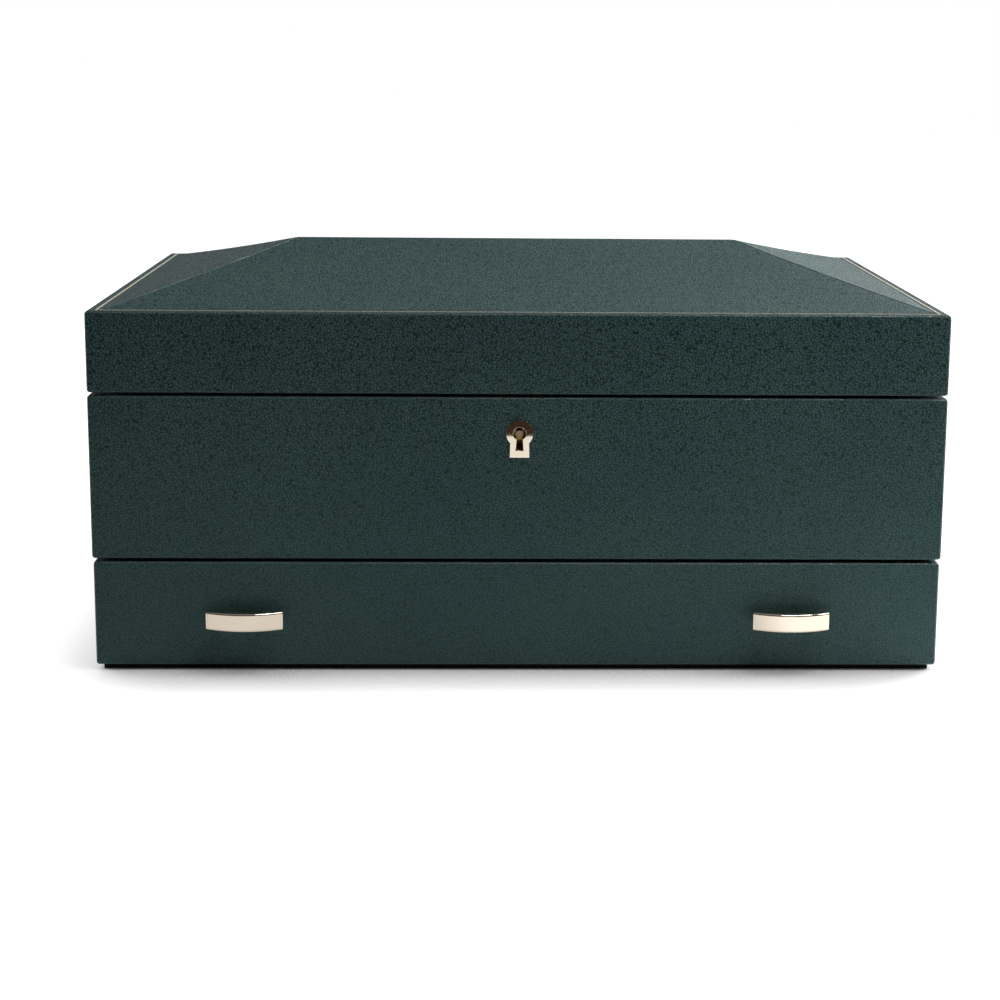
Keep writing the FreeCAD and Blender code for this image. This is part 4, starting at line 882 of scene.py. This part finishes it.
# %% Ring rolls
ROLL_COUNT, ROLL_TOP_Z, ROLL_GAP, ROLL_SHY = 12, 35.0, 0.6, 0.7
ROLL_END_GAP, ROLL_UP = 0.3, 0.4
ROLL_SQUARE, ROLL_CAP = 2.4, 1.6
pitch = (TRAY_BACK_Y - TRAY_FRONT_Y) / ROLL_COUNT
radius = (pitch - ROLL_GAP) / 2
roll_x = (-TRAY_X + ROLL_END_GAP, RING_WALL_X[0] - ROLL_END_GAP)
first_y = TRAY_FRONT_Y + pitch / 2
shoulder_z = ROLL_TOP_Z - radius
roll = bar("ring_roll", (sum(roll_x) / 2, first_y, shoulder_z), 2 * (radius - ROLL_SHY),
           roll_x[1] - roll_x[0] - 2 * ROLL_SHY, along="X", sides=48)
carve(roll, block("roll_foot", (roll_x[0] + ROLL_SHY, first_y - radius + ROLL_SHY,
                                TRAY_Z + ROLL_UP),
                  (roll_x[1] - ROLL_SHY, first_y + radius - ROLL_SHY, shoulder_z)),
      operation="UNION")
swell(roll, ROLL_SQUARE, ROLL_CAP)
keep_inside(roll, (roll_x[0], first_y - radius, TRAY_Z),
            (roll_x[1], first_y + radius, ROLL_TOP_Z))
for number in range(ROLL_COUNT):
    made = twin(roll, f"ring_roll_{number + 1}", (0, number * pitch, 0))
    dress(made, "drawer", "ring_rolls")
bpy.data.objects.remove(roll)

# %% [markdown]
# The panel under the lid is only a thin sheet of foam on card, covered in suede that is
# turned over its edges. It is too thin for the simulation, so its crown is made without it: a
# slab with a fine grid, whose lower face rises towards the edges in a quarter round.

# %% Ceiling pad
PAD_X, PAD_FRONT_Y, PAD_BACK_Y = 179.0, -123.5, 126.5
PAD_LOW_Z, PAD_TOP_Z, PAD_EDGE, PAD_REACH = 150.6, 154.6, 1.4, 16.0
PAD_SQUARES = (90, 62)
bpy.ops.object.select_all(action="DESELECT")
bpy.ops.mesh.primitive_grid_add(
    x_subdivisions=PAD_SQUARES[0], y_subdivisions=PAD_SQUARES[1], size=1,
    location=(0, (PAD_FRONT_Y + PAD_BACK_Y) / 2 * MM, PAD_TOP_Z * MM))
bpy.ops.transform.resize(value=(2 * PAD_X * MM, (PAD_BACK_Y - PAD_FRONT_Y) * MM, 1))
ceiling = settle("ceiling_cushion")
pick(ceiling, "FACE", lambda middle, normal: True)
bpy.ops.mesh.extrude_region_move(
    TRANSFORM_OT_translate={"value": (0, 0, (PAD_LOW_Z - PAD_TOP_Z) * MM)})
bpy.ops.mesh.select_all(action="SELECT")
bpy.ops.mesh.normals_make_consistent(inside=False)
done()
for corner in ceiling.data.vertices:
    x, y, z = corner.co / MM
    if z < PAD_TOP_Z - HAIR:
        inset = min(PAD_X - abs(x), y - PAD_FRONT_Y, PAD_BACK_Y - y, PAD_REACH) / PAD_REACH
        inset = max(inset, 0)
        full = math.sqrt(1 - (1 - inset) ** 2)
        corner.co.z = (PAD_TOP_Z - PAD_EDGE - (PAD_TOP_Z - PAD_EDGE - PAD_LOW_Z) * full) * MM
bpy.ops.object.shade_smooth_by_angle(angle=math.radians(50))
dress(ceiling, "lid", "lid_ceiling_pad")

# %% [markdown]
# ## Screws
#
# The small screws of the lock and of the hinges have slotted heads. A screw's shape in the
# frame is right apart from the slot, so its mesh is copied, merged and taken apart into
# single screws, and each gets its slot, turned a little differently, as a hand leaves it.

# %% Slots
SLOT_WIDE, SLOT_DEEP, SLOT_HALF_LONG = 0.6, 0.45, 3
SLOT_TURNS = (25, 110, 70, 160, 5, 85, 140, 50)


def slotted(name, source, up):
    """The screws of a piece of the frame with a slot in each head.

    up is 1 where the heads face up and -1 where they face down.
    """
    bpy.ops.object.select_all(action="DESELECT")
    piece = bpy.data.objects.new(name, cad[source].data.copy())
    scene.collection.objects.link(piece)
    pick(piece, "FACE", lambda middle, normal: True)
    bpy.ops.mesh.remove_doubles(threshold=0.001 * MM)
    bpy.ops.mesh.separate(type="LOOSE")
    done()
    screws = sorted(bpy.context.selected_objects,
                    key=lambda screw: tuple(screw.data.vertices[0].co))
    for screw, degrees in zip(screws, SLOT_TURNS):
        corners = [corner.co / MM for corner in screw.data.vertices]
        head_z = max(corner.z * up for corner in corners) * up
        xs, ys = [corner.x for corner in corners], [corner.y for corner in corners]
        middle_x, middle_y = (max(xs) + min(xs)) / 2, (max(ys) + min(ys)) / 2
        cutter = block("slot", (-SLOT_HALF_LONG, -SLOT_WIDE / 2, -SLOT_DEEP),
                       (SLOT_HALF_LONG, SLOT_WIDE / 2, SLOT_DEEP))
        cutter.data.transform(Matrix.Translation(Vector((middle_x, middle_y, head_z)) * MM)
                              @ Matrix.Rotation(math.radians(degrees), 4, "Z"))
        carve(screw, cutter)
    print(name, len(screws), "screws")
    return stick(name, *screws)


dress(slotted("slotted_case_screws", "case_screws", 1), "case", "case_screws")
dress(slotted("slotted_lid_screws", "lid_screws", -1), "lid", "lid_screws")

# %% [markdown]
# ## The room around the box
#
# The photograph has a white ground and very soft light. The metal tells the rest: the
# keyhole plate shows a white table below and a dark, warm room above it, so the table ends
# a little in front of the box and the room behind the photographer is dim. The world here is
# white to the camera. To everything else it is that dim room, dark brown in front and grey
# elsewhere. Gloss sees two brighter things in it: a pale ceiling, and a white wall low down
# behind the box, whiter on the right, which puts the grazing sheen on the hips and the rim.

# %% World
world = bpy.data.worlds.new("studio")
scene.world = world
world.use_nodes = True
tree = world.node_tree
toward = node(tree, "SeparateXYZ", {0: node(tree, "TexCoord").outputs["Generated"]})
not_front = node(tree, "MapRange", {"Value": toward.outputs["Y"], "From Min": -0.75,
                                    "From Max": -0.2}, interpolation_type="SMOOTHSTEP")
overhead = node(tree, "MapRange", {"Value": toward.outputs["Z"], "From Min": 0.62,
                                   "From Max": 0.86}, interpolation_type="SMOOTHSTEP")
room = node(tree, "MixRGB", {0: not_front.outputs[0], 1: seen("#3a2b22"), 2: seen("#4c4a48")})
under_ceiling = node(tree, "MixRGB", {0: overhead.outputs[0], 1: room.outputs[0],
                                      2: seen("#8c8c8c")})
behind = node(tree, "MapRange", {"Value": toward.outputs["Y"], "From Min": 0.55,
                                 "From Max": 0.75}, interpolation_type="SMOOTHSTEP")
low_wall = node(tree, "MapRange", {"Value": toward.outputs["Z"], "From Min": 0.24,
                                   "From Max": 0.38, "To Min": 1.0, "To Max": 0.0},
                interpolation_type="SMOOTHSTEP")
lit_side = node(tree, "MapRange", {"Value": toward.outputs["X"], "From Min": -0.45,
                                   "From Max": 0.35, "To Min": 0.3, "To Max": 1.0},
                interpolation_type="SMOOTHSTEP")
strip = node(tree, "Math", {0: behind.outputs[0], 1: low_wall.outputs[0]}, operation="MULTIPLY")
wall = node(tree, "Math", {0: strip.outputs[0], 1: lit_side.outputs[0]}, operation="MULTIPLY")
mirrored_room = node(tree, "MixRGB", {0: wall.outputs[0], 1: under_ceiling.outputs[0],
                                      2: seen("#ffffff")})
ray = node(tree, "LightPath")
lit = node(tree, "MixRGB", {0: ray.outputs["Is Glossy Ray"], 1: room.outputs[0],
                            2: mirrored_room.outputs[0]})
around = node(tree, "MixRGB", {0: ray.outputs["Is Camera Ray"], 1: lit.outputs[0],
                               2: seen("#ffffff")})
tree.links.new(around.outputs[0], tree.nodes["Background"].inputs["Color"])
print("world:", len(tree.nodes), "nodes")

# %% [markdown]
# The table is white paper. It is drawn whiter than the lamps alone would make it, to the
# camera and in reflections only, and the less so the closer a spot lies to the box. An
# ambient occlusion node measures that: it counts how much of the air above and behind a spot
# is free of the box. The spots in front of the box have the least of it, so a painted soft
# shadow lies there, and the ground beside the box turns white at once, as in the photograph.
# At the very foot of the box the paper's colour to the camera is also mixed towards black by
# the same measure, a painted contact shadow.

# %% Table
TABLE = {"x": 3000, "front": -750, "back": 6000}
PAPER_FIBRE_MM = 0.9
bpy.ops.object.select_all(action="DESELECT")
bpy.ops.mesh.primitive_plane_add(
    size=1, location=(0, (TABLE["front"] + TABLE["back"]) / 2 * MM, 0))
bpy.ops.transform.resize(value=(2 * TABLE["x"] * MM, (TABLE["back"] - TABLE["front"]) * MM, 1))
table = settle("white_table")
paper, tree, shader, place = finish("white_paper")
fibres = node(tree, "TexNoise", {"Vector": place, "Scale": 1 / (PAPER_FIBRE_MM * MM),
                                 "Detail": 3.0})
ray = node(tree, "LightPath")
white = node(tree, "MixRGB", {0: fibres.outputs["Fac"], 1: seen("#e2e2e2"), 2: seen("#eaeaea")})
grey = node(tree, "MixRGB", {0: fibres.outputs["Fac"], 1: seen("#9c9c9c"), 2: seen("#a4a4a4")})
shader.inputs["Roughness"].default_value = 0.9
print("table:", (TABLE["back"] - TABLE["front"]) * MM, "m deep")

# %% Whitening the paper, with a painted shadow at the box
SHADOW_REACH_MM = 50
FREE_AIR_FROM = (0.0, 0.7, 0.7)
FOOT_SHADOW_AO_RANGE = (0.15, 0.25)
WHITENING = ((0.225, 0.0), (0.26, 0.2), (0.30, 0.33), (0.35, 0.4), (0.455, 0.52),
             (0.56, 0.63), (0.69, 0.73), (0.83, 1.0))
mirrored = node(tree, "Math", {0: ray.outputs["Is Glossy Ray"], 1: 0.35}, operation="MULTIPLY")
watched = node(tree, "Math", {0: ray.outputs["Is Camera Ray"], 1: mirrored.outputs[0]},
               operation="MAXIMUM")
air_from = node(tree, "CombineXYZ", dict(zip("XYZ", FREE_AIR_FROM)))
free_air = node(tree, "AmbientOcclusion", {"Distance": SHADOW_REACH_MM * MM,
                                           "Normal": air_from.outputs[0]}, samples=8)
# Painted shadow: the glow grows with free air along these steps, so its fall-off near the box
# paints the soft shadow.
lift = node(tree, "ValToRGB", {"Fac": free_air.outputs["AO"]})
ramp = lift.color_ramp
ramp.elements[0].position, ramp.elements[1].position = WHITENING[0][0], WHITENING[-1][0]
for free, strength in WHITENING[1:-1]:
    ramp.elements.new(free).color = (strength, strength, strength, 1)
# Painted shadow: to the camera the paper's colour is mixed towards black where the box hides
# most of the air, at its very foot.
painted_foot_shadow = node(tree, "MapRange", {"Value": free_air.outputs["AO"], "From Min": FOOT_SHADOW_AO_RANGE[0],
                                "From Max": FOOT_SHADOW_AO_RANGE[1], "To Min": 0.25, "To Max": 1.0})
paper_grey_with_painted_shadow = node(tree, "MixRGB", {0: painted_foot_shadow.outputs[0], 1: seen("#000000"), 2: grey.outputs[0]})
paper_white = node(tree, "MixRGB", {0: ray.outputs["Is Camera Ray"], 1: white.outputs[0],
                                    2: paper_grey_with_painted_shadow.outputs[0]})
tree.links.new(paper_white.outputs[0], shader.inputs["Base Color"])
lifted = node(tree, "Math", {0: lift.outputs["Color"], 1: watched.outputs[0]},
              operation="MULTIPLY")
tree.links.new(lifted.outputs[0], shader.inputs["Emission Strength"])
shader.inputs["Emission Color"].default_value = seen("#ffffff")
table.data.materials.append(paper)
print("paper:", len(WHITENING), "steps from shadow to white")

# %% [markdown]
# The lamps are soft boxes. The strongest one stands behind and to the right, so the roof
# grows lighter towards the right, and two low strips behind the box light its sides. The
# front gets no more than a narrow box above it, which draws the light lines along the upper
# edges, a small one near the right, and what the table throws back.

# %% Lamps
def lamp(name, place, target, width, height, power):
    """A soft box at a place, in metres, that faces a target."""
    bpy.ops.object.select_all(action="DESELECT")
    facing = (Vector(target) - Vector(place)).to_track_quat("-Z", "Y").to_euler()
    bpy.ops.object.light_add(type="AREA", location=place, rotation=facing)
    light = bpy.context.object
    light.name = name
    light.data.shape = "RECTANGLE"
    light.data.size = width
    light.data.size_y = height
    light.data.energy = power
    print(name, power, "W")


lamp("soft_box_above_front", (0.4, -0.5, 1.3), (0.15, -0.15, 0.1), 0.8, 0.25, 6.5)
lamp("soft_box_near_right", (0.8, -0.1, 0.7), (0.05, 0, 0.1), 0.4, 0.4, 4)
lamp("soft_box_back_right", (1.3, 0.9, 0.8), (0, 0, 0.15), 0.9, 0.7, 33)
lamp("low_strip_right", (1.4, 1.0, 0.35), (0, 0, 0.15), 0.8, 0.4, 16)
lamp("low_strip_left", (-1.4, 1.0, 0.35), (0, 0, 0.15), 0.8, 0.4, 11)
scene.view_settings.view_transform = "Standard"
